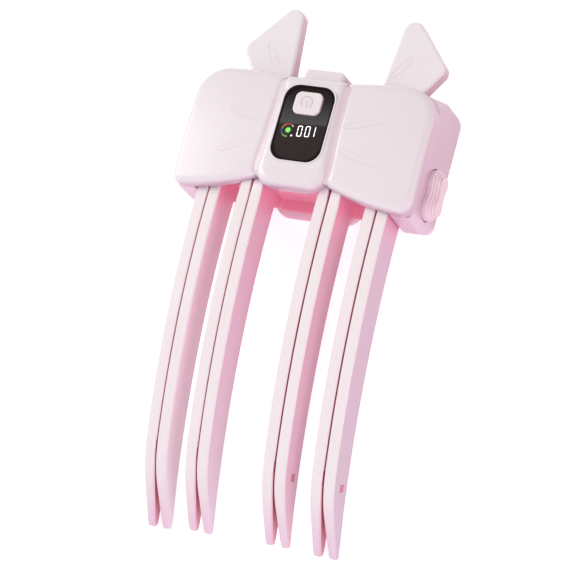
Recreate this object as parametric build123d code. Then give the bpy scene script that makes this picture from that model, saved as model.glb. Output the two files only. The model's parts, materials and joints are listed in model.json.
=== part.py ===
from build123d import *
from math import asin, atan2, cos, degrees, hypot, radians, sin, sqrt
import os

# Cordless heated hair clip for root volume, shaped like a ribbon bow.
# A bow-shaped housing holds a flat cell, a board and a display, and carries four pairs of
# long curved tines. One tine of each pair is fixed and heated. The other rides on a slider,
# so pressing the grip pad at either end opens two pairs, and a spring closes them again.
#
# All sizes are in millimetres. The pieces are drawn with x across the clip, y up towards the
# ribbon tails, and z forward out of the display, with z = 0 on the rim of the front cover and
# y = 0 at the lower edge of the knot. They are then laid on their back on a flat surface.

# Bow outline, seen from the front
half_width = 43.0
lobe_top = 39.6
lobe_top_x = 27.0
lobe_end_top = 38.6
lobe_end_bottom = -2.9
lobe_mid_bottom = -0.8
lobe_mid_x = 24.0
waist_bottom = 2.9
waist_top = 38.2
lobe_top_corner = 11.0
lobe_bottom_corner = 4.5
rim_arch = 2.4

# Knot in the middle of the bow
knot_half_bottom = 13.2
knot_half_top = 11.4
knot_top = 38.3
knot_bottom_corner = 6.5
knot_top_corner = 2.5
knot_height = 5.3
knot_edge = 3.2

# Pillow form of the lobes
lobe_height = 4.7
crown_radius = 230.0
crown_x = 17.0
crown_y = 18.5
lobe_edge = 2.9
waist_floor = 2.2

# Creases pressed into the ribbon tails, each from its round end to its open end
tail_creases = {-1: ((-28.7, 55.3), (-21.0, 44.2)), 1: ((25.7, 56.0), (17.4, 45.2))}
crease_half = 1.25
crease_line = 0.4
crease_depth = 0.25
crease_open = 2.6

# Shells
cover_wall = 2.0
housing_wall = 1.8
housing_inset = 0.9
split_gap = 0.12
tongue_width = 0.9
tongue_depth = 1.3
fit_gap = 0.1
slide_gap = 0.25

# Rear housing, seen from the side
side_front_bottom = -2.3
side_back_bottom = -3.7
side_depth = 24.2
side_top = 40.4
side_bottom_corner = 9.8
side_top_corner = 9.5
housing_end_top = 41.3
housing_back_corner = 2.2
housing_low_corner = 3.6
housing_top_corner = 2.6
corner_fade = 10.0
mouth_end_room = 8.1
mouth_half = half_width - mouth_end_room
mouth_rear_y = -0.1

# Rear knot bulge, which the clip rests on
bulge_half = 15.6
bulge_depth = 26.6
bulge_centre_y = 18.0
bulge_edge = 4.0
bulge_corner = 6.0
bulge_lip = 2.6
bulge_bottom = -1.4

# Charging boss over the knot
boss_half = 7.3
boss_top = 42.7
boss_depth = 11.5
boss_corner = 1.6
port_width = 8.94
port_height = 3.26
port_wall = 0.3
port_length = 7.3
port_z = -6.2
port_tongue_width = 6.7
port_tongue_thickness = 0.7

# Ribbon tails
tail_front = 10.4
tail_thickness = 5.2
tail_base_y = 36.0
tail_apex_x = half_width - 23.9
tail_apex_y = 73.0
tail_inner_base = tail_apex_x - 3.5
tail_outer_base = tail_apex_x + 7.6
tail_outer_x = tail_apex_x + 18.2
tail_outer_y = 51.8
tail_tip_corner = 3.7
tail_side_corner = 3.5
tail_edge = 1.1
tenon_inner = tail_apex_x - 1.1
tenon_outer = tail_apex_x + 6.9
tenon_thickness = 3.0
tenon_depth = 1.0

# Tines
pair_inner_x = 0.322 * half_width
pair_outer_x = mouth_half - 4.9
tine_gap = 0.35
tine_width = 3.95
tine_depth = 12.1
front_radius = 260.0
rear_radius = 275.0
front_reach = 1.0
outer_setback = 2.5
tip_bend_start = 83.0
tip_bend_radius = 45.0
tip_bend_angle = 42.0
tip_radius = 1.2
tip_taper_start = 85.0
tip_opening = 1.9
tine_edge = 0.4
stem_inset = 3.0
shoulder_y = 3.3

# Heater plates in the fixed tines
plate_thickness = 0.8
plate_front = 3.2
plate_back = 9.0
plate_start = 4.0
plate_end = 80.0
window_y = -89.6
window_length = 2.5
window_height = 1.5
window_drop = 6.1

# Carrier for the fixed tines
carrier_bottom = 3.5
carrier_top = 10.0
carrier_half = mouth_half + 0.2
carrier_front = -0.9
carrier_back = -13.2
carrier_post_x = (pair_inner_x + pair_outer_x) / 2 - 0.5
carrier_post_y = 6.9
carrier_post_radius = 2.0

# Sliders, guide rods and springs
travel = 3.2
slider_bottom = 18.7
slider_top = 25.7
slider_inner = 8.0
slider_front = -1.9
slider_back = -12.6
slider_leg = 2.0
slider_leg_bottom = 11.6
socket_depth = 1.6
rod_radius = 1.0
rod_y = 23.0
rod_front_z = -4.4
rod_back_z = -10.4
rod_running_gap = 0.05
rod_seat = 1.2
spring_radius = 1.6
spring_wire = 0.35
spring_turns = 7
spring_pocket_radius = 2.1
spring_pocket_depth = 7.5

# Grip pads
pad_proud = 4.1
pad_centre_y = 9.2
pad_centre_z = -12.3
pad_lobe_radius = 4.7
pad_lobe_pitch = 7.7
pad_waist = 4.1
pad_waist_corner = 2.0
pad_steps = 4
pad_step_height = 0.8
pad_step_in = 0.62
pad_edge = 0.35
pad_slot_gap = 0.35
pad_flange = 1.3
pad_flange_margin = 0.6

# Display, button and board
window_width = 17.7
window_bottom = 8.8
window_top = 34.7
window_corner = 6.3
window_ledge = 1.2
lens_edge = 0.3
lens_thickness = 1.2
lens_recess = 0.2
button_width = 9.7
button_length = 7.9
button_corner = 2.2
button_y = 28.6
button_proud = 0.9
button_gap = 0.2
button_travel = 0.5
button_flange = 0.6
button_flange_thickness = 0.6
button_edge = 0.5
board_half = 9.0
board_bottom = 4.2
board_top = 35.2
board_thickness = 1.0
board_z = 1.7
plug_room = 1.2
module_width = 14.2
module_length = 9.0
module_y = 18.2
module_thickness = 1.8
switch_size = 4.5
switch_thickness = 0.5
switch_plunger_radius = 1.0
switch_plunger_height = 0.2

# Cell and its tray
cell_width = 18.6
cell_length = 27.0
cell_thickness = 8.0
cell_y = 20.0
tray_half = bulge_half - 0.7
tray_leg = 1.2
tray_thickness = 1.0
tray_front = -13.5
tray_bottom = 4.6
tray_top = 35.0
centre_rib_half = 1.5

# Screws
screw_radius = 0.9
screw_head_radius = 1.6
screw_head_height = 1.2
post_radius = 2.5
housing_screw_spots = ((half_width - 7.0, 29.4), (bulge_half + 3.9, 29.2))
post_split_z = -4.0
screw_bite = 3.0
board_screw_x = 6.4
board_screw_y = 6.4

sides = (("left", -1), ("right", 1))
far = 200.0


def slab(x_low, x_high, y_low, y_high, z_low, z_high):
    """A box between six planes."""
    size = Box(x_high - x_low, y_high - y_low, z_high - z_low)
    middle = ((x_low + x_high) / 2, (y_low + y_high) / 2, (z_low + z_high) / 2)
    return Pos(*middle) * size


def along_x(face, x_low, x_high):
    """Push a face drawn in y and z along x, from x_low to x_high."""
    return Pos(x_low, 0, 0) * extrude(Plane.YZ * face, amount=x_high - x_low)


def along_z(face, z_low, z_high):
    """Push a face drawn in x and y along z, from z_low to z_high."""
    return Pos(0, 0, z_low) * extrude(face, amount=z_high - z_low)


def rod_along_x(radius, x_low, x_high, y, z):
    """A round bar parallel to x."""
    bar = Rot(0, 90, 0) * Cylinder(radius, x_high - x_low)
    return Pos((x_low + x_high) / 2, y, z) * bar


def rod_along_z(radius, x, y, z_low, z_high):
    """A round bar parallel to z."""
    return Pos(x, y, (z_low + z_high) / 2) * Cylinder(radius, z_high - z_low)


def other_side(shape):
    """The mirror image across the middle of the clip."""
    return mirror(shape, about=Plane.YZ)


def on_side(shape, sign):
    """A piece drawn on the right, put on the side that sign names."""
    return shape if sign > 0 else other_side(shape)


def both_sides(shape):
    """A piece drawn on the right, and its mirror image."""
    return shape + other_side(shape)


def corner(face, x, y):
    """The corner of a flat outline nearest to a point."""
    return min(face.vertices(), key=lambda v: hypot(v.X - x, v.Y - y))


def crease_leaf(start, end, half):
    """Leaf outline from start to end, half wide on each side, round at its start."""
    first = Vector(*start)
    last = Vector(*end)
    middle = (first + last) / 2
    across = (last - first).normalized().rotate(Axis.Z, 90) * half
    upper = ThreePointArc(first, middle + across, last)
    lower = ThreePointArc(last, middle - across, first)
    leaf = make_face([upper, lower])
    return fillet(corner(leaf, *start), half / 2)


def crease(start, end):
    """The open line of one crease, as a flat shape."""
    way = (Vector(*end) - Vector(*start)).normalized()
    inner_start = Vector(*start) + way * 1.5 * crease_line
    inner = crease_leaf((inner_start.X, inner_start.Y), end, crease_half - crease_line)
    return crease_leaf(start, end, crease_half) - inner - Pos(*end) * Circle(crease_open)


# Front cover

arch_radius = (half_width**2 + rim_arch**2) / (2 * rim_arch)


def arch(z_middle):
    """Everything behind the arched rim, whose middle is at z_middle."""
    drum = Rot(90, 0, 0) * Cylinder(arch_radius, far)
    return Pos(0, crown_y, z_middle - arch_radius) * drum


def lobe_face(inset):
    """Outline of the right lobe, drawn in by inset."""
    start = (knot_half_bottom - 1.0, waist_bottom)
    end = (knot_half_top - 1.0, waist_top)
    bottom = ThreePointArc(start, (lobe_mid_x, lobe_mid_bottom), (half_width, lobe_end_bottom))
    outer = Line((half_width, lobe_end_bottom), (half_width, lobe_end_top))
    top = ThreePointArc((half_width, lobe_end_top), (lobe_top_x, lobe_top), end)
    inner = Line(end, start)
    face = make_face([bottom, outer, top, inner])
    face = fillet(corner(face, half_width, lobe_end_top), lobe_top_corner)
    face = fillet(corner(face, half_width, lobe_end_bottom), lobe_bottom_corner)
    return offset(face, -inset, kind=Kind.INTERSECTION) if inset else face


def knot_face(inset):
    """Outline of the knot: a slightly tapered block with a rounded lower edge."""
    corners = [
        (-knot_half_bottom, 0),
        (knot_half_bottom, 0),
        (knot_half_top, knot_top),
        (-knot_half_top, knot_top),
    ]
    face = make_face(Polyline(*corners, close=True))
    for side in (-1, 1):
        face = fillet(corner(face, side * knot_half_bottom, 0), knot_bottom_corner)
        face = fillet(corner(face, side * knot_half_top, knot_top), knot_top_corner)
    return offset(face, -inset, kind=Kind.INTERSECTION) if inset else face


def lobe_block(inset, drop):
    """The right lobe under its pillow crown."""
    block = along_z(lobe_face(inset), -rim_arch - 1, lobe_height + 1)
    ball = Pos(crown_x, crown_y, lobe_height - drop - crown_radius) * Sphere(crown_radius)
    return block & ball


def top_edges(block, above):
    """The edges that run round the front face of a block."""
    return [edge for edge in block.edges() if edge.center().Z > above]


def cover_outside():
    """The bow as one solid: two pillow lobes, the knot and the web between them."""
    lobe = lobe_block(0, 0)
    lobe = fillet(top_edges(lobe, lobe_height - 3.4), lobe_edge)
    knot = along_z(knot_face(0), -rim_arch - 1, knot_height)
    knot = fillet(knot.faces().sort_by(Axis.Z)[-1].edges(), knot_edge)
    web_half = knot_half_bottom + 2.0
    web = slab(-web_half, web_half, waist_bottom + 2.6, waist_top - 1.2, -rim_arch - 1, waist_floor)
    return both_sides(lobe) + knot + web


def window_face(grow):
    """The rounded display window, grown by grow on every side."""
    width = window_width + 2 * grow
    height = window_top - window_bottom + 2 * grow
    shape = RectangleRounded(width, height, window_corner + grow)
    return Pos(0, (window_top + window_bottom) / 2) * shape


def button_face(grow):
    """The power button's outline, grown by grow on every side."""
    shape = RectangleRounded(
        button_width + 2 * grow, button_length + 2 * grow, button_corner + grow
    )
    return Pos(0, button_y) * shape


lens_front = knot_height - lens_recess
lens_back = lens_front - lens_thickness
ledge_back = lens_back - 1.0
cell_z = tray_front - tray_thickness - fit_gap - cell_thickness / 2


def front_cover():
    """Moulded front cover: display window, board seat and screw posts."""
    cover = cover_outside()
    hollow = both_sides(lobe_block(cover_wall, cover_wall))
    knot_hollow = along_z(knot_face(cover_wall), -rim_arch - 1, ledge_back)
    cover = cover - hollow - knot_hollow
    cover = cover - slab(-mouth_half, mouth_half, -far, carrier_bottom + 2, -rim_arch - 1, -split_gap)
    cover = cover - arch(0)
    notch_low = pair_inner_x - tine_gap / 2 - tine_width - travel - slide_gap
    notch_high = pair_inner_x + tine_gap / 2 + tine_width + slide_gap
    notch = slab(notch_low, notch_high, -far, carrier_bottom, -far, front_reach + slide_gap)
    cover = cover - both_sides(notch)
    cover = cover - along_z(window_face(fit_gap), lens_back, knot_height + 1)
    cover = cover - along_z(window_face(-window_ledge), -1, knot_height + 1)
    for x, y in housing_screw_spots:
        post = rod_along_z(post_radius, x, y, post_split_z, lobe_height - cover_wall - 0.2)
        cover = cover + both_sides(post)
    seat = rod_along_z(1.7, board_screw_x, board_screw_y, board_z, ledge_back + 0.5)
    cover = cover + both_sides(seat)
    rail = slab(board_half - 1.4, board_half - 0.2, board_bottom + 7.8, board_top - 5.2, board_z, ledge_back + 0.2)
    cover = cover + both_sides(rail)
    cover = cover + cover_tongue()
    for x, y in housing_screw_spots:
        pilot = rod_along_z(screw_radius, x, y, post_split_z, post_split_z + screw_bite + 0.4)
        cover = cover - both_sides(pilot)
    pilot = rod_along_z(screw_radius, board_screw_x, board_screw_y, board_z, ledge_back + 1.2)
    return cover - both_sides(pilot)


def cover_tongue():
    """The rib that drops into the housing and lines the two shells up."""
    inset = housing_inset + housing_wall + fit_gap
    outer = housing_face(inset, lobe_end_top, lobe_top_corner - inset)
    inset = inset + tongue_width
    inner = housing_face(inset, lobe_end_top, lobe_top_corner - inset)
    ring = along_z(outer, -rim_arch - tongue_depth, 2.5) - along_z(inner, -far, far)
    ring = ring & arch(1.0) - arch(-tongue_depth)
    ring = ring - slab(-far, far, -far, slider_top + 1.5, -far, far)
    clear = max(boss_half, board_half) + 1
    return ring - slab(-clear, clear, -far, far, -far, far)


# Rear housing


def housing_face(inset, end_top, corner_radius):
    """Front-view outline of the rear housing; its lower edge comes from the side view."""
    side = half_width - inset
    low = side_back_bottom + inset - housing_inset
    top = lobe_top - inset
    end = end_top - inset
    waist = waist_top - inset
    right = ThreePointArc((side, end), (lobe_top_x, top), (knot_half_top - 1, waist))
    left = ThreePointArc((1 - knot_half_top, waist), (-lobe_top_x, top), (-side, end))
    middle = Line((knot_half_top - 1, waist), (1 - knot_half_top, waist))
    rest = Polyline((-side, end), (-side, low), (side, low), (side, end))
    face = make_face([right, middle, left, rest])
    for sign in (-1, 1):
        face = fillet(corner(face, sign * side, end), corner_radius)
        face = fillet(corner(face, sign * side, low), housing_low_corner - inset + housing_inset)
    return face


def side_face(inset):
    """Side-view outline of the rear housing, in y and z."""
    corners = [
        (side_front_bottom + inset, 3),
        (side_back_bottom + inset, -side_depth + inset),
        (side_top - inset, -side_depth + inset),
        (side_top - inset, 3),
    ]
    face = make_face(Polyline(*corners, close=True))
    face = fillet(corner(face, *corners[1]), side_bottom_corner - inset)
    return fillet(corner(face, *corners[2]), side_top_corner - inset)


def bulge_block(inset):
    """The rear knot bulge, down to its flat back."""
    width = 2 * (bulge_half - inset)
    low = bulge_bottom + inset
    high = knot_top - housing_inset - inset
    shape = RectangleRounded(width, high - low, bulge_corner - inset)
    shape = Pos(0, (low + high) / 2) * shape
    back = -bulge_depth + inset if inset else -bulge_depth - 4
    return along_z(shape, back, carrier_back)


def lie_angle():
    """Tilt that lays the outer tips and the bulge's back on one plane."""
    tip = tip_centre(outer_setback)
    fall = -bulge_depth - tip[1]
    run = bulge_centre_y - tip[0]
    return degrees(atan2(fall, run) + asin(tip_radius / hypot(fall, run)))


def rest_block():
    """Everything behind the plane that the clip rests on."""
    block = Pos(0, 0, -far / 2) * Box(far * 2, far * 2, far)
    return Pos(0, bulge_centre_y, -bulge_depth) * Rot(lie_angle(), 0, 0) * block


def plan_face(inset):
    """Outline of the rear housing from above: straight ends and rounded back corners."""
    side = half_width - inset
    back = side_depth - (inset - housing_inset)
    shape = Rectangle(2 * side, 2 * back)
    spots = [v for v in shape.vertices() if v.Y < 0]
    return fillet(spots, housing_back_corner - (inset - housing_inset))


def housing_core(inset):
    """The rear housing without its bulge, drawn in from the skin by inset."""
    rim = housing_face(
        housing_inset + inset, lobe_end_top, lobe_top_corner - housing_inset - inset
    )
    rear = housing_face(housing_inset + inset, housing_end_top, housing_top_corner - inset)
    body = loft([Pos(0, 0, 3) * rim, Pos(0, 0, -corner_fade) * rear], ruled=True)
    body = body + along_z(rear, -far / 4, -corner_fade)
    body = body & along_x(side_face(inset), -half_width, half_width)
    plan = extrude(Plane.XZ * plan_face(housing_inset + inset), amount=far, both=True)
    return body & plan


def housing_bulge():
    """The rear knot bulge, with its soft edge and the flat that the clip rests on."""
    bulge = bulge_block(0) - rest_block()
    back = bulge.faces().sort_by(Axis.Z)[0]
    return fillet(back.edges(), bulge_edge)


def housing_outside():
    """The rear housing as one solid."""
    return housing_core(0) + housing_bulge()


def housing_inside():
    """The room inside the rear housing."""
    return housing_core(housing_wall) + bulge_block(housing_wall + 0.6)


def bulge_lip_block():
    """The lower edge of the bulge, which hangs below the mouth of the housing."""
    return housing_bulge() & slab(-far, far, -far, mouth_rear_y + 1, -far, 0)


def boss():
    """The block over the knot that takes the charging socket."""
    block = slab(-boss_half, boss_half, knot_top - 6, boss_top, -boss_depth, -split_gap)
    edges = block.edges().filter_by(Axis.Z) + block.edges().filter_by(Axis.Y)
    high = [edge for edge in edges if edge.center().Y > knot_top - 3.5]
    return fillet(high, boss_corner)


def port_room(grow):
    """The room that the charging socket fills, grown by grow."""
    face = RectangleRounded(port_width + 2 * grow, port_height + 2 * grow, 1.2 + grow)
    block = extrude(Plane.XZ * face, amount=-port_length - grow)
    return Pos(0, boss_top - port_length - 0.4, port_z) * block


def rear_housing():
    """Moulded rear shell: open mouth for the tines, slots for the pads, and posts."""
    shell = housing_outside()
    shell = shell + boss()
    rear_inner = -side_depth + housing_wall
    shell = shell - housing_inside()
    shell = shell - slab(-mouth_half, mouth_half, -far, mouth_rear_y, -far, 4)
    shell = shell + (bulge_lip_block() - housing_inside())
    shell = shell - slab(-mouth_half, mouth_half, -far, carrier_bottom + 3, rear_inner, 4)
    inner_half = bulge_half - housing_wall - 0.6
    bulge_inner = -bulge_depth + bulge_lip
    shell = shell - slab(-inner_half, inner_half, -far, tray_bottom, bulge_inner, 4)
    shell = shell & arch(-split_gap)
    shell = shell - both_sides(along_x(pad_face(pad_slot_gap), half_width - 6, half_width + 1))
    shell = shell - slab(-boss_half + 1.6, boss_half - 1.6, knot_top - 8, knot_top - 1.4, -boss_depth + 1.6, 0)
    shell = shell - Pos(0, 1.0, 0) * port_room(fit_gap) - port_room(fit_gap)
    shell = shell + both_sides(rod_boss())
    for x, y in housing_screw_spots:
        shell = shell + both_sides(screw_post(x, y))
    shell = shell & housing_hull()
    for x, y in housing_screw_spots:
        shell = shell - both_sides(screw_hole(x, y))
    post = rod_along_z(
        carrier_post_radius, carrier_post_x, carrier_post_y, rear_inner - 0.6, carrier_back - fit_gap
    )
    shell = shell + both_sides(post)
    hole = rod_along_z(screw_radius, carrier_post_x, carrier_post_y, -far / 4, 0)
    head = rod_along_z(
        screw_head_radius + fit_gap,
        carrier_post_x,
        carrier_post_y,
        -far / 4,
        -side_depth + screw_head_height,
    )
    shell = shell - both_sides(hole) - both_sides(head)
    for sign in (-1, 1):
        shell = shell - tail_tenon(sign, fit_gap)
    return shell


def housing_hull():
    """The whole outer form with the boss, which trims posts that reach the skin."""
    return housing_outside() + boss()


def rod_boss():
    """Seat on the side wall for the ends of both guide rods."""
    wall = half_width - housing_inset - housing_wall
    x_low = wall - rod_seat - 0.3
    block = slab(
        x_low, wall + 0.5, rod_y - 2.2, rod_y + 2.2, rod_back_z - 2.0, rod_front_z + 2.0
    )
    for z in (rod_front_z, rod_back_z):
        block = block - rod_along_x(rod_radius + 0.02, x_low - 1, wall - 0.1, rod_y, z)
    return block


def screw_post(x, y):
    """Post from the rear wall to the cover's post."""
    return rod_along_z(post_radius, x, y, -side_depth, post_split_z - fit_gap)


def screw_seat_z(y):
    """Where a housing screw's head seats inside its post."""
    return -side_depth + 3.4


def screw_hole(x, y):
    """Clearance hole and head pocket of a housing screw."""
    seat = screw_seat_z(y)
    hole = rod_along_z(screw_radius + fit_gap, x, y, seat - 1, 0)
    return hole + rod_along_z(screw_head_radius + fit_gap, x, y, -far / 4, seat)


def screw(x, y, head_z, length, direction):
    """A pan-head screw whose head seats at head_z, and whose shank points along direction."""
    shank_end = head_z + direction * length
    head_end = head_z - direction * screw_head_height
    shank = rod_along_z(screw_radius, x, y, min(head_z, shank_end), max(head_z, shank_end))
    head = rod_along_z(screw_head_radius, x, y, min(head_z, head_end), max(head_z, head_end))
    outer = head.faces().sort_by(Axis.Z)[0 if direction > 0 else -1]
    head = chamfer(outer.edges(), 0.25)
    socket = Pos(x, y, head_end) * Box(1.6, 0.4, 1.0) + Pos(x, y, head_end) * Box(0.4, 1.6, 1.0)
    return shank + head - socket


def housing_screws():
    """The four screws that close the shells."""
    parts = []
    for x, y in housing_screw_spots:
        seat = screw_seat_z(y)
        one = screw(x, y, seat, post_split_z - seat + screw_bite, 1)
        parts += [one, other_side(one)]
    return parts


def carrier_screws():
    """The two screws that hold the tine carrier."""
    seat = -side_depth + screw_head_height
    one = screw(carrier_post_x, carrier_post_y, seat, carrier_back - seat + screw_bite, 1)
    return [one, other_side(one)]


# Ribbon tails


def tail_face():
    """Outline of the right ribbon tail."""
    corners = [
        (tail_inner_base, tail_base_y),
        (tail_apex_x, tail_apex_y),
        (tail_outer_x, tail_outer_y),
        (tail_outer_base, tail_base_y),
    ]
    face = make_face(Polyline(*corners, close=True))
    face = fillet(corner(face, tail_apex_x, tail_apex_y), tail_tip_corner)
    return fillet(corner(face, tail_outer_x, tail_outer_y), tail_side_corner)


def tail_tenon(sign, grow):
    """The tongue of a ribbon tail that passes through the housing's top wall."""
    z_mid = -tail_front - tail_thickness / 2
    block = slab(
        tenon_inner - grow,
        tenon_outer + grow,
        lobe_top - housing_inset - housing_wall - tenon_depth,
        lobe_top + 1,
        z_mid - tenon_thickness / 2 - grow,
        z_mid + tenon_thickness / 2 + grow,
    )
    return on_side(block, sign)


def ribbon_tail(sign):
    """A flat moulded ribbon end, seated on the top of the housing."""
    blade = along_z(tail_face(), -tail_front - tail_thickness, -tail_front)
    rims = [edge for edge in blade.edges() if edge.center().Y > tail_base_y + 1]
    rims = [edge for edge in rims if abs(edge.tangent_at(0.5).Z) < 0.5]
    blade = fillet(rims, tail_edge)
    line = along_z(crease(*tail_creases[sign]), -tail_front - crease_depth, -tail_front + 1)
    blade = on_side(blade, sign) - line
    return blade - housing_outside() + tail_tenon(sign, 0)


# Tines


def front_centre(setback):
    """Centre of the arc of a tine's front edge, in y and z."""
    return (0, front_reach - setback - front_radius)


def rear_centre(setback):
    """Centre of the arc of a tine's rear edge, in y and z."""
    return (0, front_reach - setback - tine_depth - rear_radius)


def arc_point(centre, radius, angle):
    """Point on a tine's arc, angle degrees down from the housing."""
    return (centre[0] - radius * sin(radians(angle)), centre[1] + radius * cos(radians(angle)))


def bend_geometry(setback):
    """Start angle and centre of the tighter bend near the tip."""
    start = degrees(asin(tip_bend_start / front_radius))
    centre = front_centre(setback)
    corner = arc_point(centre, front_radius, start)
    scale_in = tip_bend_radius / front_radius
    middle = (
        corner[0] + (centre[0] - corner[0]) * scale_in,
        corner[1] + (centre[1] - corner[1]) * scale_in,
    )
    return start, middle


def tip_centre(setback):
    """Centre of the round end of a tine, in y and z.

    It lies tip_radius inside both the rear arc and the straight front flank."""
    start, middle = bend_geometry(setback)
    angle = radians(tip_bend_angle)
    end = arc_point(middle, tip_bend_radius, tip_bend_angle)
    along = (-cos(angle), -sin(angle))
    inward = (sin(angle), -cos(angle))
    base = (end[0] + inward[0] * tip_radius, end[1] + inward[1] * tip_radius)
    centre = rear_centre(setback)
    reach = rear_radius + tip_radius
    offset_y = base[0] - centre[0]
    offset_z = base[1] - centre[1]
    half_b = offset_y * along[0] + offset_z * along[1]
    rest = offset_y**2 + offset_z**2 - reach**2
    step = -half_b - sqrt(half_b**2 - rest)
    return (base[0] + along[0] * step, base[1] + along[1] * step)


def blade_face(setback, top):
    """Side outline of one tine, from its stem at height top to its tip."""
    front = front_centre(setback)
    rear = rear_centre(setback)
    start, middle = bend_geometry(setback)
    tip = tip_centre(setback)
    angle = radians(tip_bend_angle)
    bend_end = arc_point(middle, tip_bend_radius, tip_bend_angle)
    front_tip = (tip[0] - tip_radius * sin(angle), tip[1] + tip_radius * cos(angle))
    toward = hypot(tip[0] - rear[0], tip[1] - rear[1])
    rear_tip = (
        tip[0] + (rear[0] - tip[0]) * tip_radius / toward,
        tip[1] + (rear[1] - tip[1]) * tip_radius / toward,
    )
    end_angle = (angle + asin(-tip[0] / (rear_radius + tip_radius))) / 2
    end_way = (-cos(end_angle), -sin(end_angle))
    end_point = (tip[0] + tip_radius * end_way[0], tip[1] + tip_radius * end_way[1])
    rear_angle = degrees(asin(-rear_tip[0] / rear_radius))
    front_z = front_reach - setback
    rear_z = front_z - tine_depth
    edges = [
        ThreePointArc(
            (0, front_z),
            arc_point(front, front_radius, start / 2),
            arc_point(front, front_radius, start),
        ),
        ThreePointArc(
            arc_point(front, front_radius, start),
            arc_point(middle, tip_bend_radius, (start + tip_bend_angle) / 2),
            bend_end,
        ),
        Line(bend_end, front_tip),
        ThreePointArc(front_tip, end_point, rear_tip),
        ThreePointArc(rear_tip, arc_point(rear, rear_radius, rear_angle / 2), (0, rear_z)),
        Polyline(
            (0, rear_z),
            (shoulder_y, rear_z),
            (shoulder_y, rear_z + stem_inset),
            (top, rear_z + stem_inset),
            (top, front_z - stem_inset),
            (shoulder_y, front_z - stem_inset),
            (shoulder_y, front_z),
            (0, front_z),
        ),
    ]
    return make_face(edges)


def tip_wedge(setback):
    """What the gap side loses towards the tip, so that each pair opens like a V.

    Drawn for a tine whose gap side is at x = 0 and whose body is at x > 0."""
    tip = tip_centre(setback)
    low = tip[0] - 3
    run = -tip[0] - tip_taper_start
    outline = [
        (0, -tip_taper_start),
        (-1, -tip_taper_start),
        (-1, low),
        (tip_opening * (-low - tip_taper_start) / run, low),
    ]
    return along_z(make_face(Polyline(*outline, close=True)), -far, far)


def raw_tine(setback, top):
    """A tine with its gap side at x = 0 and its body at x > 0."""
    blade = along_x(blade_face(setback, top), 0, tine_width)
    blade = blade - tip_wedge(setback)
    long_edges = [
        edge
        for edge in blade.edges()
        if edge.center().Y < -1 and abs(edge.tangent_at(0.5).X) < 0.5 and edge.length > 3
    ]
    return chamfer(long_edges, tine_edge)


def plate_face(setback, grow):
    """Side outline of a heater plate: a strip that follows the blade."""
    centre = front_centre(setback)
    outer = front_radius - plate_front + grow
    inner = front_radius - plate_back - grow
    first = degrees(asin((plate_start - grow) / front_radius))
    last = degrees(asin((plate_end + grow) / front_radius))
    middle = (first + last) / 2
    edges = [
        ThreePointArc(*[arc_point(centre, outer, a) for a in (first, middle, last)]),
        Line(arc_point(centre, outer, last), arc_point(centre, inner, last)),
        ThreePointArc(*[arc_point(centre, inner, a) for a in (last, middle, first)]),
        Line(arc_point(centre, inner, first), arc_point(centre, outer, first)),
    ]
    return make_face(edges)


def heated_tine(setback):
    """A fixed tine with the bed of its heater plate and its moulding window."""
    tine = raw_tine(setback, carrier_top)
    bed = along_x(plate_face(setback, fit_gap), -1, plate_thickness + fit_gap)
    return tine - bed - window_cut(setback, 0)


def window_cut(setback, grow):
    """The small sunk window on the outer side of a heated tine, near the tip."""
    angle = degrees(asin(-window_y / front_radius))
    centre = front_centre(setback)
    spot = arc_point(centre, front_radius - window_drop, angle)
    block = Box(0.8, window_length, window_height)
    return Pos(tine_width, spot[0], spot[1]) * Rot(angle, 0, 0) * block


def heater_plate(setback):
    """Aluminium strip that heats the hair, flush with the gap side of its tine."""
    return along_x(plate_face(setback, 0), 0.05, plate_thickness)


# Where each tine stands. Every entry: pair number, side of the clip, pair centre, setback.
pairs = (
    (1, -1, pair_outer_x, outer_setback),
    (2, -1, pair_inner_x, 0.0),
    (3, 1, pair_inner_x, 0.0),
    (4, 1, pair_outer_x, outer_setback),
)


def place_outboard(shape, centre, sign):
    """Stand a tine on the outboard side of its pair's gap."""
    return on_side(Pos(centre + tine_gap / 2, 0, 0) * shape, sign)


def place_inboard(shape, centre, sign):
    """Stand a tine on the inboard side of its pair's gap."""
    turned = mirror(shape, about=Plane.YZ)
    return on_side(Pos(centre - tine_gap / 2, 0, 0) * turned, sign)


def stem_room(setback, grow):
    """Front and back of a tine's stem, grown by grow."""
    front_z = front_reach - setback - stem_inset + grow
    back_z = front_reach - setback - tine_depth + stem_inset - grow
    return back_z, front_z


def tine_carrier():
    """Moulded bar that grips the heated tines and lets the moving ones pass."""
    bar = slab(-carrier_half, carrier_half, carrier_bottom, carrier_top, carrier_back, carrier_front)
    for centre, setback in ((pair_inner_x, 0.0), (pair_outer_x, outer_setback)):
        back_z, front_z = stem_room(setback, fit_gap / 2)
        x_low = centre + tine_gap / 2
        socket = slab(
            x_low - fit_gap / 2, x_low + tine_width + fit_gap / 2, -far, far, back_z, front_z
        )
        bar = bar - both_sides(socket)
        back_z, front_z = stem_room(setback, slide_gap)
        x_high = centre - tine_gap / 2
        passage = slab(
            x_high - tine_width - travel - slide_gap, x_high + fit_gap, -far, far, back_z, front_z
        )
        bar = bar - both_sides(passage)
    pilot = rod_along_z(
        screw_radius, carrier_post_x, carrier_post_y, carrier_back - 1, carrier_back + screw_bite + 0.4
    )
    return bar - both_sides(pilot)


# Sliders, rods and springs


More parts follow.
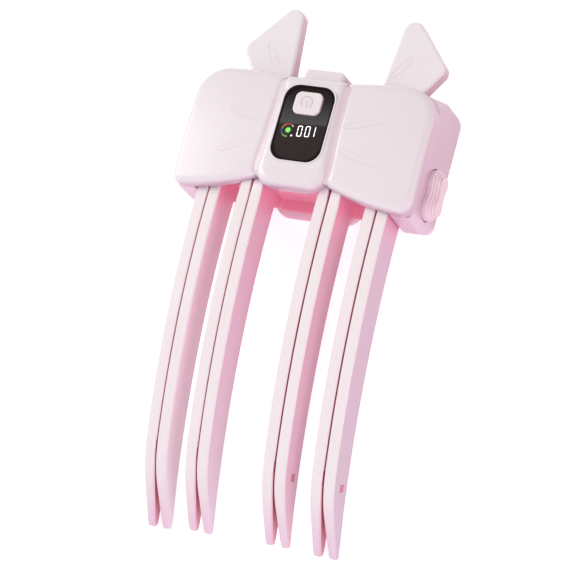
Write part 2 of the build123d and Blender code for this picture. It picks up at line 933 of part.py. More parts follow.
def slider(sign):
    """The bar that carries two moving tines and a grip pad along the guide rods."""
    outer = pad_inner_x()
    bar = slab(slider_inner, outer, slider_bottom, slider_top, slider_back, slider_front)
    leg = slab(outer - slider_leg, outer, slider_leg_bottom, slider_bottom, slider_back, slider_front)
    body = bar + leg
    for z in (rod_front_z, rod_back_z):
        body = body - rod_along_x(rod_radius + rod_running_gap, 0, half_width, rod_y, z)
    pocket = rod_along_x(
        spring_pocket_radius, 0, slider_inner + spring_pocket_depth, rod_y, spring_z()
    )
    body = body - pocket
    for centre, setback in ((pair_inner_x, 0.0), (pair_outer_x, outer_setback)):
        back_z, front_z = stem_room(setback, fit_gap / 2)
        x_high = centre - tine_gap / 2
        socket = slab(
            x_high - tine_width - fit_gap / 2,
            x_high + fit_gap / 2,
            slider_bottom - 1,
            slider_bottom + socket_depth + fit_gap / 2,
            back_z,
            front_z,
        )
        body = body - socket
    return on_side(body, sign)


def spring_z():
    """Depth of the springs, midway between the rods."""
    return (rod_front_z + rod_back_z) / 2


def guide_rods():
    """The two steel rods that the sliders run on."""
    end = half_width - housing_inset - housing_wall - 0.3
    return [rod_along_x(rod_radius, -end, end, rod_y, z) for z in (rod_front_z, rod_back_z)]


def return_spring(sign):
    """Compression spring between the centre rib and the bottom of the slider's pocket."""
    start = centre_rib_half + 0.05
    end = slider_inner + spring_pocket_depth - 0.05
    length = end - start - 2 * spring_wire
    path = Helix(pitch=length / spring_turns, height=length, radius=spring_radius)
    section = Plane(origin=path @ 0, z_dir=path % 0) * Circle(spring_wire)
    coil = sweep(section, path=path)
    coil = Pos(start + spring_wire, rod_y, spring_z()) * Rot(0, 90, 0) * coil
    return on_side(coil, sign)


# Grip pads


def pad_face(grow):
    """Peanut outline of a grip pad, in y and z, grown by grow."""
    radius = pad_lobe_radius
    step = pad_lobe_pitch / 2
    shape = Pos(pad_centre_y - step, pad_centre_z) * Circle(radius)
    shape = shape + Pos(pad_centre_y + step, pad_centre_z) * Circle(radius)
    shape = shape + Pos(pad_centre_y, pad_centre_z) * Rectangle(pad_lobe_pitch, 2 * pad_waist)
    notch = [v for v in shape.vertices() if abs(abs(v.Y - pad_centre_z) - pad_waist) < 0.01]
    shape = fillet(notch, pad_waist_corner)
    return offset(shape, grow) if grow else shape


def pad_inner_x():
    """Inner face of a pad's flange, where its slider meets it."""
    return half_width - housing_inset - housing_wall - 0.2 - pad_flange


def grip_pad(sign):
    """Soft grip pad in steps that follow its outline, and a flange behind the wall."""
    inner = pad_inner_x()
    outer = half_width - housing_inset + pad_proud
    body = along_x(pad_face(0), inner, outer - pad_steps * pad_step_height)
    for number in range(pad_steps):
        low = outer - (pad_steps - number) * pad_step_height
        step = along_x(pad_face(-number * pad_step_in), low, low + pad_step_height)
        rim = step.faces().sort_by(Axis.X)[-1].edges()
        body = body + fillet(rim, pad_edge)
    flange = along_x(offset(pad_face(0), pad_flange_margin), inner, inner + pad_flange)
    return on_side(body + flange, sign)


# Display, button, board and cell


def display_lens():
    """Dark glass-clear window with a hole for the button."""
    lens = along_z(window_face(0), lens_back, lens_front)
    lens = chamfer(lens.faces().sort_by(Axis.Z)[-1].edges(), lens_edge)
    return lens - along_z(button_face(button_gap), -1, knot_height + 1)


def power_button():
    """The power button: a cap through the lens and a flange that keeps it in."""
    flange_top = lens_back - fit_gap
    cap = along_z(button_face(0), flange_top - button_flange_thickness, lens_front + button_proud)
    cap = fillet(cap.faces().sort_by(Axis.Z)[-1].edges(), button_edge)
    flange = along_z(button_face(button_flange), flange_top - button_flange_thickness, flange_top)
    return cap + flange


def display_module():
    """The digit display on the board, behind the lens."""
    return slab(
        -module_width / 2,
        module_width / 2,
        module_y - module_length / 2,
        module_y + module_length / 2,
        board_z,
        board_z + module_thickness,
    )


def main_board():
    """Control board with its larger parts soldered on the back."""
    board = slab(-board_half, board_half, board_bottom, board_top, board_z - board_thickness, board_z)
    pilot = rod_along_z(screw_radius + fit_gap, board_screw_x, board_screw_y, -1, board_z + 1)
    board = board - both_sides(pilot)
    back = board_z - board_thickness
    middle = (board_bottom + board_top) / 2
    chip = slab(-3.5, 3.5, middle + 2.3, middle + 9.3, back - 0.8, back)
    coil = slab(-2.5, 2.5, middle - 5.7, middle - 0.7, back - 1.4, back)
    plug = slab(
        -4, 4, board_top - plug_room - 3, board_top - plug_room, back - 1.6, back
    )
    return board + chip + coil + plug


def tact_switch():
    """The small switch that the button presses."""
    body = Box(switch_size, switch_size, switch_thickness)
    body = Pos(0, button_y, board_z + switch_thickness / 2) * body
    top = board_z + switch_thickness
    return body + rod_along_z(switch_plunger_radius, 0, button_y, top, top + switch_plunger_height)


def board_screws():
    """The two screws that hold the board to the cover."""
    seat = board_z - board_thickness
    one = screw(board_screw_x, board_screw_y, seat, board_thickness + 1.6, 1)
    return [one, other_side(one)]


def battery_cell():
    """Flat rechargeable cell in the rear knot bulge."""
    cell = Box(cell_width, cell_length, cell_thickness)
    cell = fillet(cell.edges().filter_by(Axis.Y), 2.5)
    return Pos(0, cell_y, cell_z) * cell


def battery_tray():
    """Tray that shuts the cell in, with the rib that the rods and springs bear on."""
    back = cell_z - cell_thickness / 2
    tray = slab(-tray_half, tray_half, tray_bottom, tray_top, tray_front - tray_thickness, tray_front)
    inner_half = bulge_half - housing_wall - 0.6 - fit_gap
    floor = slab(-inner_half, inner_half, tray_bottom, tray_bottom + 1.2, back, tray_front)
    rib = slab(
        -centre_rib_half, centre_rib_half, slider_bottom, slider_top, tray_front, slider_front
    )
    rear_inner = -side_depth + housing_wall
    leg = slab(tray_half - tray_leg, tray_half, tray_bottom + 4, tray_top - 10, rear_inner, tray_front)
    tray = tray + floor + rib + both_sides(leg)
    for z in (rod_front_z, rod_back_z):
        tray = tray - rod_along_x(rod_radius + 0.02, -3, 3, rod_y, z)
    return tray


def charge_port():
    """Metal charging socket in the boss, with its contact tongue."""
    shell = port_room(0)
    face = RectangleRounded(port_width - 2 * port_wall, port_height - 2 * port_wall, 0.9)
    hollow = extrude(Plane.XZ * face, amount=-port_length)
    hollow = Pos(0, boss_top - port_length + 0.9, port_z) * hollow
    tongue = Box(port_tongue_width, port_length - 1.6, port_tongue_thickness)
    tongue = Pos(0, boss_top - port_length / 2 - 0.9, port_z) * tongue
    return shell - hollow + tongue


# Lay the clip on its back and write one file per piece


def lie_down(shape):
    """Move a piece from the drawing frame to the resting frame."""
    tilt = Rot(-lie_angle(), 0, 0)
    return tilt * Pos(0, -bulge_centre_y, bulge_depth) * shape


def write(name, shape):
    """Write one piece, or a group of like pieces, under its own name."""
    parts = shape if isinstance(shape, list) else [shape]
    placed = [solid for part in parts for solid in lie_down(part).solids()]
    export_step(placed[0] if len(placed) == 1 else Compound(children=placed), f"parts/{name}.step")
    print(name, len(placed), round(sum(solid.volume for solid in placed), 1))


os.makedirs("parts", exist_ok=True)
write("front_cover", front_cover())
write("rear_housing", rear_housing())
write("housing_screws", housing_screws())
write("carrier_screws", carrier_screws())
write("tine_carrier", tine_carrier())
write("guide_rods", guide_rods())
write("display_lens", display_lens())
write("display_module", display_module())
write("main_board", main_board())
write("board_screws", board_screws())
write("tact_switch", tact_switch())
write("power_button", power_button())
write("battery_cell", battery_cell())
write("battery_tray", battery_tray())
write("charge_port", charge_port())
for side_name, side_sign in sides:
    write(f"{side_name}_ribbon_tail", ribbon_tail(side_sign))
    write(f"{side_name}_slider", slider(side_sign))
    write(f"{side_name}_grip_pad", grip_pad(side_sign))
    write(f"{side_name}_return_spring", return_spring(side_sign))
for number, sign, centre, setback in pairs:
    fixed = place_outboard(heated_tine(setback), centre, sign)
    plate = place_outboard(heater_plate(setback), centre, sign)
    moving = place_inboard(raw_tine(setback, slider_bottom + socket_depth), centre, sign)
    write(f"heated_tine_{number}", fixed)
    write(f"heater_plate_{number}", plate)
    write(f"moving_tine_{number}", moving)
print("rest tilt", round(lie_angle(), 3))
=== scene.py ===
# %% [markdown]
# # A heated hair clip shaped like a bow
# This lesson dresses a clip whose solid pieces were made in CAD. They arrive with their real
# sizes and places, and they stay as they are. Where the shot asks for a little more, such as a
# blunter tine or a fainter crease, a changed copy stands in for the piece. The rest is what the
# eye reads as real: moulded plastic, smoked acrylic, lit digits, light and the camera.

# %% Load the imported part
import json
import math
import bmesh
import bpy
from mathutils import Matrix, Vector
from mathutils.bvhtree import BVHTree

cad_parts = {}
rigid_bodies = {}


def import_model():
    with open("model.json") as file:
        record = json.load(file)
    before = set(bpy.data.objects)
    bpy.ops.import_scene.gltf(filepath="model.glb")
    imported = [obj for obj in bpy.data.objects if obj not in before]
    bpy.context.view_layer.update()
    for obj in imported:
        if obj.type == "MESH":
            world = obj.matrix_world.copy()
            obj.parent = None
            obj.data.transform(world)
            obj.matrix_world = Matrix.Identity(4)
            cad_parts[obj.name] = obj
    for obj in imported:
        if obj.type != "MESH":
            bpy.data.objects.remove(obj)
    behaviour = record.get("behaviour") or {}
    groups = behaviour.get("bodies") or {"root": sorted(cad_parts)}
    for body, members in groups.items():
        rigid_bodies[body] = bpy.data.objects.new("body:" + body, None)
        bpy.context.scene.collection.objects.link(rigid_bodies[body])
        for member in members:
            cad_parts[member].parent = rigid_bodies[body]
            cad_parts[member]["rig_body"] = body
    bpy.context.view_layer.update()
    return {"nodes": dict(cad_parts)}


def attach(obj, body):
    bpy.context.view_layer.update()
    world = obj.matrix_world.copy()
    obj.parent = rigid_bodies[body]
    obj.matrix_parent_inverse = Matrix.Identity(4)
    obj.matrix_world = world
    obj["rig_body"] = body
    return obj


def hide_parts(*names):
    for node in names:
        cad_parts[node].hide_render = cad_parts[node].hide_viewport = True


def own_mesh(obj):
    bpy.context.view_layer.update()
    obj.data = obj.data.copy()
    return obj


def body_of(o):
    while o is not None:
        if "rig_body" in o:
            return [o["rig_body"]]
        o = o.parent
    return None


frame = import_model()
nodes = frame["nodes"]
print("pieces from CAD:", len(nodes))

# %% [markdown]
# ## Where things are
# The clip was drawn upright, with x across it, y towards the ribbon ends and z out of the
# display, and then laid on its back. The same two steps turn a drawing place in millimetres
# into a scene place in metres, so a mark can be put on the window by its drawn position.

# %% From the drawing to the scene
REST_TILT = math.radians(4.128)
REST_POINT = Vector((0.0, 18.0, -26.6))
MM = 0.001
lie_down = (
    Matrix.Scale(MM, 4)
    @ Matrix.Rotation(-REST_TILT, 4, "X")
    @ Matrix.Translation(-REST_POINT)
)
turn_only = Matrix.Rotation(-REST_TILT, 3, "X")
print("top of the display in the scene:", tuple(lie_down @ Vector((0.0, 34.7, 5.1))))

# %% [markdown]
# ## The camera
# A product shot like this is taken with a long lens from far away, which keeps the tines nearly
# parallel. The camera is built from three directions found by matching the drawing to the shot,
# and from the distance at which the clip has its size in the picture.

# %% Long lens, far away
IMAGE_SIDE = 573
FOCAL_PIXELS = 2500.0
PIXELS_PER_MM = 3.113
KNOT_PIXEL = (290.9, 191.9)
right = Vector((0.8950, 0.2620, -0.3600)).normalized()
ahead = Vector((-0.4230, 0.2450, -0.8735)).normalized()
down = ahead.cross(right).normalized()
right = down.cross(ahead).normalized()
distance = FOCAL_PIXELS / PIXELS_PER_MM
shift_right = (KNOT_PIXEL[0] - IMAGE_SIDE / 2) / FOCAL_PIXELS * distance
shift_down = (KNOT_PIXEL[1] - IMAGE_SIDE / 2) / FOCAL_PIXELS * distance
eye = -distance * ahead - shift_right * right - shift_down * down

camera_data = bpy.data.cameras.new("product_camera")
camera_data.sensor_width = 36.0
camera_data.lens = FOCAL_PIXELS / IMAGE_SIDE * camera_data.sensor_width
camera_data.clip_start = 0.01
camera_data.clip_end = 20.0
camera = bpy.data.objects.new("product_camera", camera_data)
bpy.context.scene.collection.objects.link(camera)
axes = [turn_only @ v for v in (right, -down, -ahead)]
pose = Matrix(axes).transposed().to_4x4()
pose.translation = lie_down @ eye
camera.matrix_world = pose
bpy.context.scene.camera = camera
print("camera stands", round(distance * MM, 3), "m away, lens", round(camera_data.lens, 1), "mm")

# %% [markdown]
# ## Small helpers
# Colours are written as the hex values that a screen shows, and turned into the linear values
# that the renderer works with. A finish is a tree of nodes, and one helper adds any node with
# its settings and its links. Patterns are sized in millimetres, as on the real thing.

# %% Colour and node helpers
def linear(hex_text):
    """A screen colour such as "f2dde2" as linear red, green, blue and alpha."""
    parts = [int(hex_text[i : i + 2], 16) / 255 for i in (0, 2, 4)]
    return [c / 12.92 if c <= 0.04045 else ((c + 0.055) / 1.055) ** 2.4 for c in parts] + [1.0]


def add_node(tree, kind, settings=None, links=None):
    """Add a node; settings fill its sockets or properties, links join its sockets to outputs."""
    node = tree.nodes.new(kind)
    for name, value in (settings or {}).items():
        if isinstance(name, int) or name in node.inputs:
            node.inputs[name].default_value = value
        else:
            setattr(node, name, value)
    for name, source in (links or {}).items():
        tree.links.new(source, node.inputs[name])
    return node


def new_finish(name):
    """An empty material and its node tree."""
    material = bpy.data.materials.new(name)
    material.use_nodes = True
    material.node_tree.nodes.clear()
    return material, material.node_tree


def per_mm(size):
    """Noise scale that gives features of this size in millimetres."""
    return 1.0 / (size * MM)


def dress(names, material):
    """Give CAD pieces one finish."""
    for name in names:
        slots = nodes[name].data.materials
        slots.clear()
        slots.append(material)
    print(material.name, "on", len(names), "pieces")

# %% [markdown]
# ## Moulded pink plastic
# The bow, the ribbon ends and the tines are injection moulded. Their flanks are painted a deeper
# pink than their faces, which is painted shade, and the room under the lobes is painted a strong
# rose that glows, which is painted bounce light from pink to pink. A weak mix by the direction that
# a face points gives the painted flank shade, and a second mix by the place in the drawing gives
# the painted rose of the room and its fading along the tines, painted shade in the narrow gap of
# each pair, and painted lilac light and glow under the bow and at its lower lip.

# %% Where the pinks change
# Places and distances are in the drawing, in millimetres. A pair of numbers is where a change
# begins and where it ends. PAIR_CENTRES is how far the pairs of tines stand from the middle, and
# GAP_SIDE is measured from there.
PAIR_CENTRES = (13.846, 30.0)
GAP_SIDE = (2.2, 2.8)
# Down the tines the painted flank shade and bounce light fade, and near the tips the face turns pinker.
DOWN_THE_TINES = (-15.0, -105.0)
NEAR_THE_TIPS = (-88.0, -116.0)
# Under the bow the faces get painted lilac light, and low on the lip a painted glow.
UNDER_THE_BOW = (2.0, -1.0)
LOWER_LIP = (-19.0, -22.0)
# The box under the lobes in which rose bounce light is painted and made to glow.
ROOM_CENTRE = (0.0, 19.0, -11.6)
ROOM_HALF = (38.5, 17.5, 13.2)
FLOW_SIZE = 34.0
GRAIN_DEPTH = 0.004
# These two have no unit: how much a face points out of the display, and how uneven shade and
# gloss are.
FACING = (0.05, 0.8)
SWING = 0.04
# Painted shade on the sides of a pair that face each other across the narrow gap, lighter at the tips where
# the V opens.
GAP_SHADE_HEX = "dc6f88"
GAP_TIP_SHADE_HEX = "efb6cb"
# Painted lilac light on the faces under the bow, and the strength of the painted glow at the lower lip.
UNDER_LIGHT_HEX = "e6c6d8"
PAINTED_LIP_GLOW = 0.42
print("the room under the lobes is", [2 * half for half in ROOM_HALF], "mm")

# %% Masks for the pinks
def drawn_place(tree, place):
    """The drawing place of a point in millimetres, from its place in the scene."""
    back = {"Location": REST_POINT, "Rotation": (REST_TILT, 0.0, 0.0), "Scale": (1 / MM, 1 / MM, 1 / MM)}
    mapping = add_node(tree, "ShaderNodeMapping", back, {"Vector": place.outputs["Object"]})
    return mapping.outputs["Vector"]


def bounce_glow_share(tree, drawn, fade):
    """One inside the room under the lobes, where rose bounce light is painted, and nothing beyond fade
    millimetres outside it.
    """
    away = drawn
    for operation, amount in (("SUBTRACT", ROOM_CENTRE), ("ABSOLUTE", None), ("SUBTRACT", ROOM_HALF)):
        settings = {"operation": operation} | ({1: amount} if amount else {})
        away = add_node(tree, "ShaderNodeVectorMath", settings, {0: away}).outputs["Vector"]
    outside = add_node(tree, "ShaderNodeVectorMath", {"operation": "MAXIMUM", 1: (0, 0, 0)}, {0: away})
    length = add_node(tree, "ShaderNodeVectorMath", {"operation": "LENGTH"}, {0: outside.outputs["Vector"]})
    return add_node(
        tree,
        "ShaderNodeMapRange",
        {"From Min": 0.0, "From Max": fade, "To Min": 1.0, "To Max": 0.0, "interpolation_type": "SMOOTHSTEP"},
        {"Value": length.outputs["Value"]},
    ).outputs["Result"]


def gap_shade_share(tree, split):
    """One on the sides of the tines that face each other across the narrow gap of a pair, where shade is
    painted.
    """
    side = add_node(tree, "ShaderNodeMath", {"operation": "ABSOLUTE"}, {0: split.outputs["X"]})
    aways = []
    for centre in PAIR_CENTRES:
        settings = {"operation": "SUBTRACT", 1: centre}
        way = add_node(tree, "ShaderNodeMath", settings, {0: side.outputs["Value"]})
        away = add_node(tree, "ShaderNodeMath", {"operation": "ABSOLUTE"}, {0: way.outputs["Value"]})
        aways.append(away.outputs["Value"])
    nearest = add_node(tree, "ShaderNodeMath", {"operation": "MINIMUM"}, {0: aways[0], 1: aways[1]})
    return add_node(
        tree,
        "ShaderNodeMapRange",
        {"From Min": GAP_SIDE[0], "From Max": GAP_SIDE[1], "To Min": 1.0, "To Max": 0.0},
        {"Value": nearest.outputs["Value"]},
    ).outputs["Result"]

# %% The moulded plastic itself
def moulded_pink(name, hexes, roughness, grain_mm, coat, bounce_fade=None, bounce_on_faces=True, glow=0.3):
    """Satin moulded plastic, with painted shade and painted bounce light.

    hexes are the colours of a face, of a flank near the bow, of a flank far down the tines, of a
    face at the tips, and of the room under the lobes. Both flank colours are painted shade and
    bounce light, and the room's rose is painted bounce light. Where the fade is given, the room's
    painted rose reaches so many millimetres out of it, on flanks alone or on faces too, and glow is
    the share of it that is painted as light coming out of the plastic."""
    face_hex, flank_shade_hex, far_flank_shade_hex, tip_hex, bounce_rose_hex = hexes
    material, tree = new_finish(name)
    place = add_node(tree, "ShaderNodeTexCoord")
    drawn = drawn_place(tree, place)
    split = add_node(tree, "ShaderNodeSeparateXYZ", None, {0: drawn})
    up = add_node(
        tree,
        "ShaderNodeVectorMath",
        {"operation": "DOT_PRODUCT", 1: turn_only @ Vector((0.0, 0.0, 1.0))},
        {0: place.outputs["Normal"]},
    )
    flow = add_node(
        tree,
        "ShaderNodeTexNoise",
        {"Scale": per_mm(FLOW_SIZE), "Detail": 2.0},
        {"Vector": place.outputs["Object"]},
    )
    flow_step = add_node(
        tree,
        "ShaderNodeMapRange",
        {"From Min": 0.3, "From Max": 0.7, "To Min": -SWING, "To Max": SWING},
        {"Value": flow.outputs["Fac"]},
    )
    facing = add_node(
        tree,
        "ShaderNodeMapRange",
        {"From Min": FACING[0], "From Max": FACING[1], "interpolation_type": "SMOOTHSTEP"},
        {"Value": up.outputs["Value"]},
    )
    blend = add_node(
        tree, "ShaderNodeMath", {"operation": "ADD", "use_clamp": True},
        {0: facing.outputs["Result"], 1: flow_step.outputs["Result"]},
    )
    down_tine = add_node(
        tree,
        "ShaderNodeMapRange",
        {"From Min": DOWN_THE_TINES[0], "From Max": DOWN_THE_TINES[1]},
        {"Value": split.outputs["Y"]},
    ).outputs["Result"]
    at_tip = add_node(
        tree,
        "ShaderNodeMapRange",
        {"From Min": NEAR_THE_TIPS[0], "From Max": NEAR_THE_TIPS[1], "interpolation_type": "SMOOTHSTEP"},
        {"Value": split.outputs["Y"]},
    ).outputs["Result"]
    flank_shade_mix = {"data_type": "RGBA", 6: linear(flank_shade_hex), 7: linear(far_flank_shade_hex)}
    face_mix = {"data_type": "RGBA", 6: linear(face_hex), 7: linear(tip_hex)}
    gap_shade_mix = {"data_type": "RGBA", 6: linear(GAP_SHADE_HEX), 7: linear(GAP_TIP_SHADE_HEX)}
    bounce_rose_mix = {"data_type": "RGBA", 7: linear(bounce_rose_hex)}
    plain_mix = {"data_type": "RGBA"}
    # The flank colour is painted shade and bounce light, fading down the tines.
    flank = add_node(tree, "ShaderNodeMix", flank_shade_mix, {0: down_tine}).outputs[2]
    face = add_node(tree, "ShaderNodeMix", face_mix, {0: at_tip}).outputs[2]
    room = bounce_glow_share(tree, drawn, bounce_fade) if bounce_fade else None
    # On the tines, painted shade fills the narrow gap of a pair, and the room's painted rose bounce light
    # lies on the open flanks.
    if bounce_fade and not bounce_on_faces:
        gap = gap_shade_share(tree, split)
        in_gap_shade = add_node(tree, "ShaderNodeMix", gap_shade_mix, {0: at_tip}).outputs[2]
        flank = add_node(tree, "ShaderNodeMix", plain_mix, {0: gap, 6: flank, 7: in_gap_shade}).outputs[2]
        flank = add_node(tree, "ShaderNodeMix", bounce_rose_mix, {0: room, 6: flank}).outputs[2]
    facing_share = blend.outputs["Value"]
    colour = add_node(tree, "ShaderNodeMix", plain_mix, {0: facing_share, 6: flank, 7: face}).outputs[2]
    # On the housing the room's painted rose bounce light reaches the faces too, and painted lilac light lies
    # under the bow.
    if bounce_fade and bounce_on_faces:
        under = add_node(
            tree,
            "ShaderNodeMapRange",
            {"From Min": UNDER_THE_BOW[0], "From Max": UNDER_THE_BOW[1]},
            {"Value": split.outputs["Y"]},
        ).outputs["Result"]
        deep = add_node(
            tree,
            "ShaderNodeMapRange",
            {"From Min": LOWER_LIP[0], "From Max": LOWER_LIP[1]},
            {"Value": split.outputs["Z"]},
        ).outputs["Result"]
        lip_glow_share = add_node(tree, "ShaderNodeMath", {"operation": "MULTIPLY"}, {0: under, 1: deep})
        under_light_mix = {"data_type": "RGBA", 7: linear(UNDER_LIGHT_HEX)}
        colour = add_node(tree, "ShaderNodeMix", bounce_rose_mix, {0: room, 6: colour}).outputs[2]
        colour = add_node(tree, "ShaderNodeMix", under_light_mix, {0: under, 6: colour}).outputs[2]
    grain = add_node(
        tree,
        "ShaderNodeTexNoise",
        {"Scale": per_mm(grain_mm), "Detail": 3.0},
        {"Vector": place.outputs["Object"]},
    )
    bump = add_node(
        tree,
        "ShaderNodeBump",
        {"Strength": 0.5, "Distance": GRAIN_DEPTH * MM},
        {"Height": grain.outputs["Fac"]},
    )
    gloss = add_node(
        tree,
        "ShaderNodeMapRange",
        {"From Min": 0.3, "From Max": 0.7, "To Min": roughness - SWING, "To Max": roughness + SWING},
        {"Value": flow.outputs["Fac"]},
    )
    shader = add_node(
        tree,
        "ShaderNodeBsdfPrincipled",
        {"IOR": 1.53, "Coat Weight": coat, "Coat Roughness": 0.2, "Subsurface Weight": 0.12,
         "Subsurface Radius": (1.0, 0.45, 0.55), "Subsurface Scale": 0.0015},
        {"Base Color": colour, "Roughness": gloss.outputs["Result"], "Normal": bump.outputs["Normal"]},
    )
    # The painted bounce light is also sent out as emission, so the room glows; on the housing the lower lip
    # glows with painted light too.
    if bounce_fade:
        where = room
        if not bounce_on_faces:
            # The painted bounce glow lies on the tines' open flanks, neither on the face nor in the gap.
            for share in (facing_share, gap):
                rest = add_node(tree, "ShaderNodeMath", {"operation": "SUBTRACT", 0: 1.0}, {1: share})
                where = add_node(
                    tree, "ShaderNodeMath", {"operation": "MULTIPLY"}, {0: where, 1: rest.outputs["Value"]}
                ).outputs["Value"]
        lit = add_node(tree, "ShaderNodeMath", {"operation": "MULTIPLY", 1: glow}, {0: where})
        if bounce_on_faces:
            lit = add_node(
                tree, "ShaderNodeMath", {"operation": "MULTIPLY_ADD", 1: PAINTED_LIP_GLOW},
                {0: lip_glow_share.outputs["Value"], 2: lit.outputs["Value"]},
            )
        tree.links.new(colour, shader.inputs["Emission Color"])
        tree.links.new(lit.outputs["Value"], shader.inputs["Emission Strength"])
    add_node(tree, "ShaderNodeOutputMaterial", None, {"Surface": shader.outputs["BSDF"]})
    return material

# %% The pinks of this clip
# The bow is satin ABS from a finely textured mould, which gives a soft wide sheen. The tines are
# PBT, a little duller, the inner pieces matt nylon, and the grip pads soft rubber with hardly any
# sheen. In each palette the flank colour is painted shade, and the rose of the room under the
# lobes is painted bounce light that also glows, so the room is never dark.
satin = {"roughness": 0.34, "grain_mm": 0.5, "coat": 0.2}
shell_hexes = ("f0e8e9", "d3afc0", "d3afc0", "f0e8e9", "d9829b")
# The ribbon ends get a lighter copy of the bow's pink: painted light.
tail_light_hexes = ("f6f0f1", "d2afbf", "d2afbf", "f6f0f1", "d9829b")
# A pinker copy for the valleys beside the knot: painted shade in the fold.
valley_shade_hexes = ("ead5db", "d8b3c4", "d8b3c4", "ead5db", "d9829b")
# Each pair of tines has flank colours of its own, set for how light falls on it and bounces between the
# tines: painted shade and painted bounce light.
tine_shade_hexes = {
    1: ("f5edec", "f6d6e1", "fbeaf0", "e9c6d5", "de8ba6"),
    2: ("f5edec", "e4b6cb", "e8d5df", "e9c6d5", "de8ba6"),
    3: ("f5edec", "ecb0c5", "eec4d6", "e9c6d5", "de8ba6"),
    4: ("f5edec", "d8b3c6", "d3bccb", "e9c6d5", "d885a2"),
}
# The inner nylon is painted the deep rose of bounce light between pink walls, and glows with it.
bounce_rose_hexes = ("e294a8", "d9829b", "d9829b", "e294a8", "d9829b")
pad_hexes = ("f4dde3", "f4d8e2", "f4d8e2", "f4dde3", "f4d8e2")
shell_abs = moulded_pink("satin_moulded_abs_pink", shell_hexes, **satin)
# The housing glows a little with painted bounce light in the room under the lobes and at its lower lip.
housing_abs = moulded_pink("satin_moulded_abs_pink_housing", shell_hexes, **satin, bounce_fade=0.8, glow=0.42)
inner_nylon = moulded_pink("matt_moulded_nylon_pink_bounce_glow", bounce_rose_hexes, 0.5, 0.7, 0.0, 4.0)
soft_touch = moulded_pink("soft_touch_rubber_pink", pad_hexes, 0.6, 0.35, 0.0)
tail_abs = moulded_pink("satin_moulded_abs_pink_tail", tail_light_hexes, **satin)
valley_shade_abs = moulded_pink("satin_moulded_abs_pink_valley_shade", valley_shade_hexes, **satin)
dress(["front_cover", "power_button"], shell_abs)
dress(["left_ribbon_tail", "right_ribbon_tail"], tail_abs)
dress(["rear_housing"], housing_abs)
for number, hexes in tine_shade_hexes.items():
    tine_pbt = moulded_pink(f"satin_moulded_pbt_pink_{number}", hexes, 0.38, 0.5, 0.1, 16.0, False, glow=0.22)
    dress([f"heated_tine_{number}", f"moving_tine_{number}"], tine_pbt)
dress(["tine_carrier", "battery_tray", "left_slider", "right_slider"], inner_nylon)
dress(["left_grip_pad", "right_grip_pad"], soft_touch)

# %% [markdown]
# ## Smoked acrylic
# The display window is a thin plate of nearly black acrylic, polished like glass. Its body
# colour is a very dark brown, and what makes it read as glass is the sharp reflection of a soft
# studio lamp in its upper half.

# %% The display window
acrylic, tree = new_finish("polished_smoked_acrylic")
place = add_node(tree, "ShaderNodeTexCoord")
haze = add_node(
    tree, "ShaderNodeTexNoise", {"Scale": per_mm(9.0), "Detail": 1.0}, {"Vector": place.outputs["Object"]}
)
smoke = add_node(
    tree,
    "ShaderNodeMix",
    {"data_type": "RGBA", 6: linear("200d0d"), 7: linear("261010")},
    {0: haze.outputs["Fac"]},
)
# Acrylic has an IOR of 1.49. A little less gives the weak reflection of the shot.
shader = add_node(
    tree, "ShaderNodeBsdfPrincipled", {"IOR": 1.36, "Roughness": 0.03}, {"Base Color": smoke.outputs[2]}
)
add_node(tree, "ShaderNodeOutputMaterial", None, {"Surface": shader.outputs["BSDF"]})
dress(["display_lens"], acrylic)

# %% [markdown]
# ## Metal, board and cell
# These sit inside the bow and show only in the gaps or when it is opened. Steel and nickel plate
# have a fine drawn grain, stretched along one direction. The heater plates are coated with rose
# ceramic, the board is green laminate, the display module and the switch are black plastic, and
# the cell is wrapped in blue film.

# %% Inner finishes
def brushed_metal(name, bright_hex, dull_hex, roughness, grain_mm, along):
    """Metal with a grain of this width, drawn out along one axis."""
    material, tree = new_finish(name)
    place = add_node(tree, "ShaderNodeTexCoord")
    stretch = [1.0, 1.0, 1.0]
    stretch[along] = 0.04
    mapping = add_node(tree, "ShaderNodeMapping", {"Scale": stretch}, {"Vector": place.outputs["Object"]})
    lines = add_node(
        tree,
        "ShaderNodeTexNoise",
        {"Scale": per_mm(grain_mm), "Detail": 2.0},
        {"Vector": mapping.outputs["Vector"]},
    )
    colour = add_node(
        tree,
        "ShaderNodeMix",
        {"data_type": "RGBA", 6: linear(dull_hex), 7: linear(bright_hex)},
        {0: lines.outputs["Fac"]},
    )
    rough = add_node(
        tree,
        "ShaderNodeMapRange",
        {"To Min": roughness - 0.06, "To Max": roughness + 0.06},
        {"Value": lines.outputs["Fac"]},
    )
    shader = add_node(
        tree,
        "ShaderNodeBsdfPrincipled",
        {"Metallic": 1.0},
        {"Base Color": colour.outputs[2], "Roughness": rough.outputs["Result"]},
    )
    add_node(tree, "ShaderNodeOutputMaterial", None, {"Surface": shader.outputs["BSDF"]})
    return material


def plain_mottle(name, light_hex, dark_hex, size_mm, roughness, ior=1.5):
    """A dull surface with a soft mottle of two near colours."""
    material, tree = new_finish(name)
    place = add_node(tree, "ShaderNodeTexCoord")
    mottle = add_node(
        tree,
        "ShaderNodeTexNoise",
        {"Scale": per_mm(size_mm), "Detail": 3.0},
        {"Vector": place.outputs["Object"]},
    )
    colour = add_node(
        tree,
        "ShaderNodeMix",
        {"data_type": "RGBA", 6: linear(dark_hex), 7: linear(light_hex)},
        {0: mottle.outputs["Fac"]},
    )
    bump = add_node(
        tree, "ShaderNodeBump", {"Strength": 0.4, "Distance": 0.01 * MM}, {"Height": mottle.outputs["Fac"]}
    )
    shader = add_node(
        tree,
        "ShaderNodeBsdfPrincipled",
        {"Roughness": roughness, "IOR": ior},
        {"Base Color": colour.outputs[2], "Normal": bump.outputs["Normal"]},
    )
    add_node(tree, "ShaderNodeOutputMaterial", None, {"Surface": shader.outputs["BSDF"]})
    return material


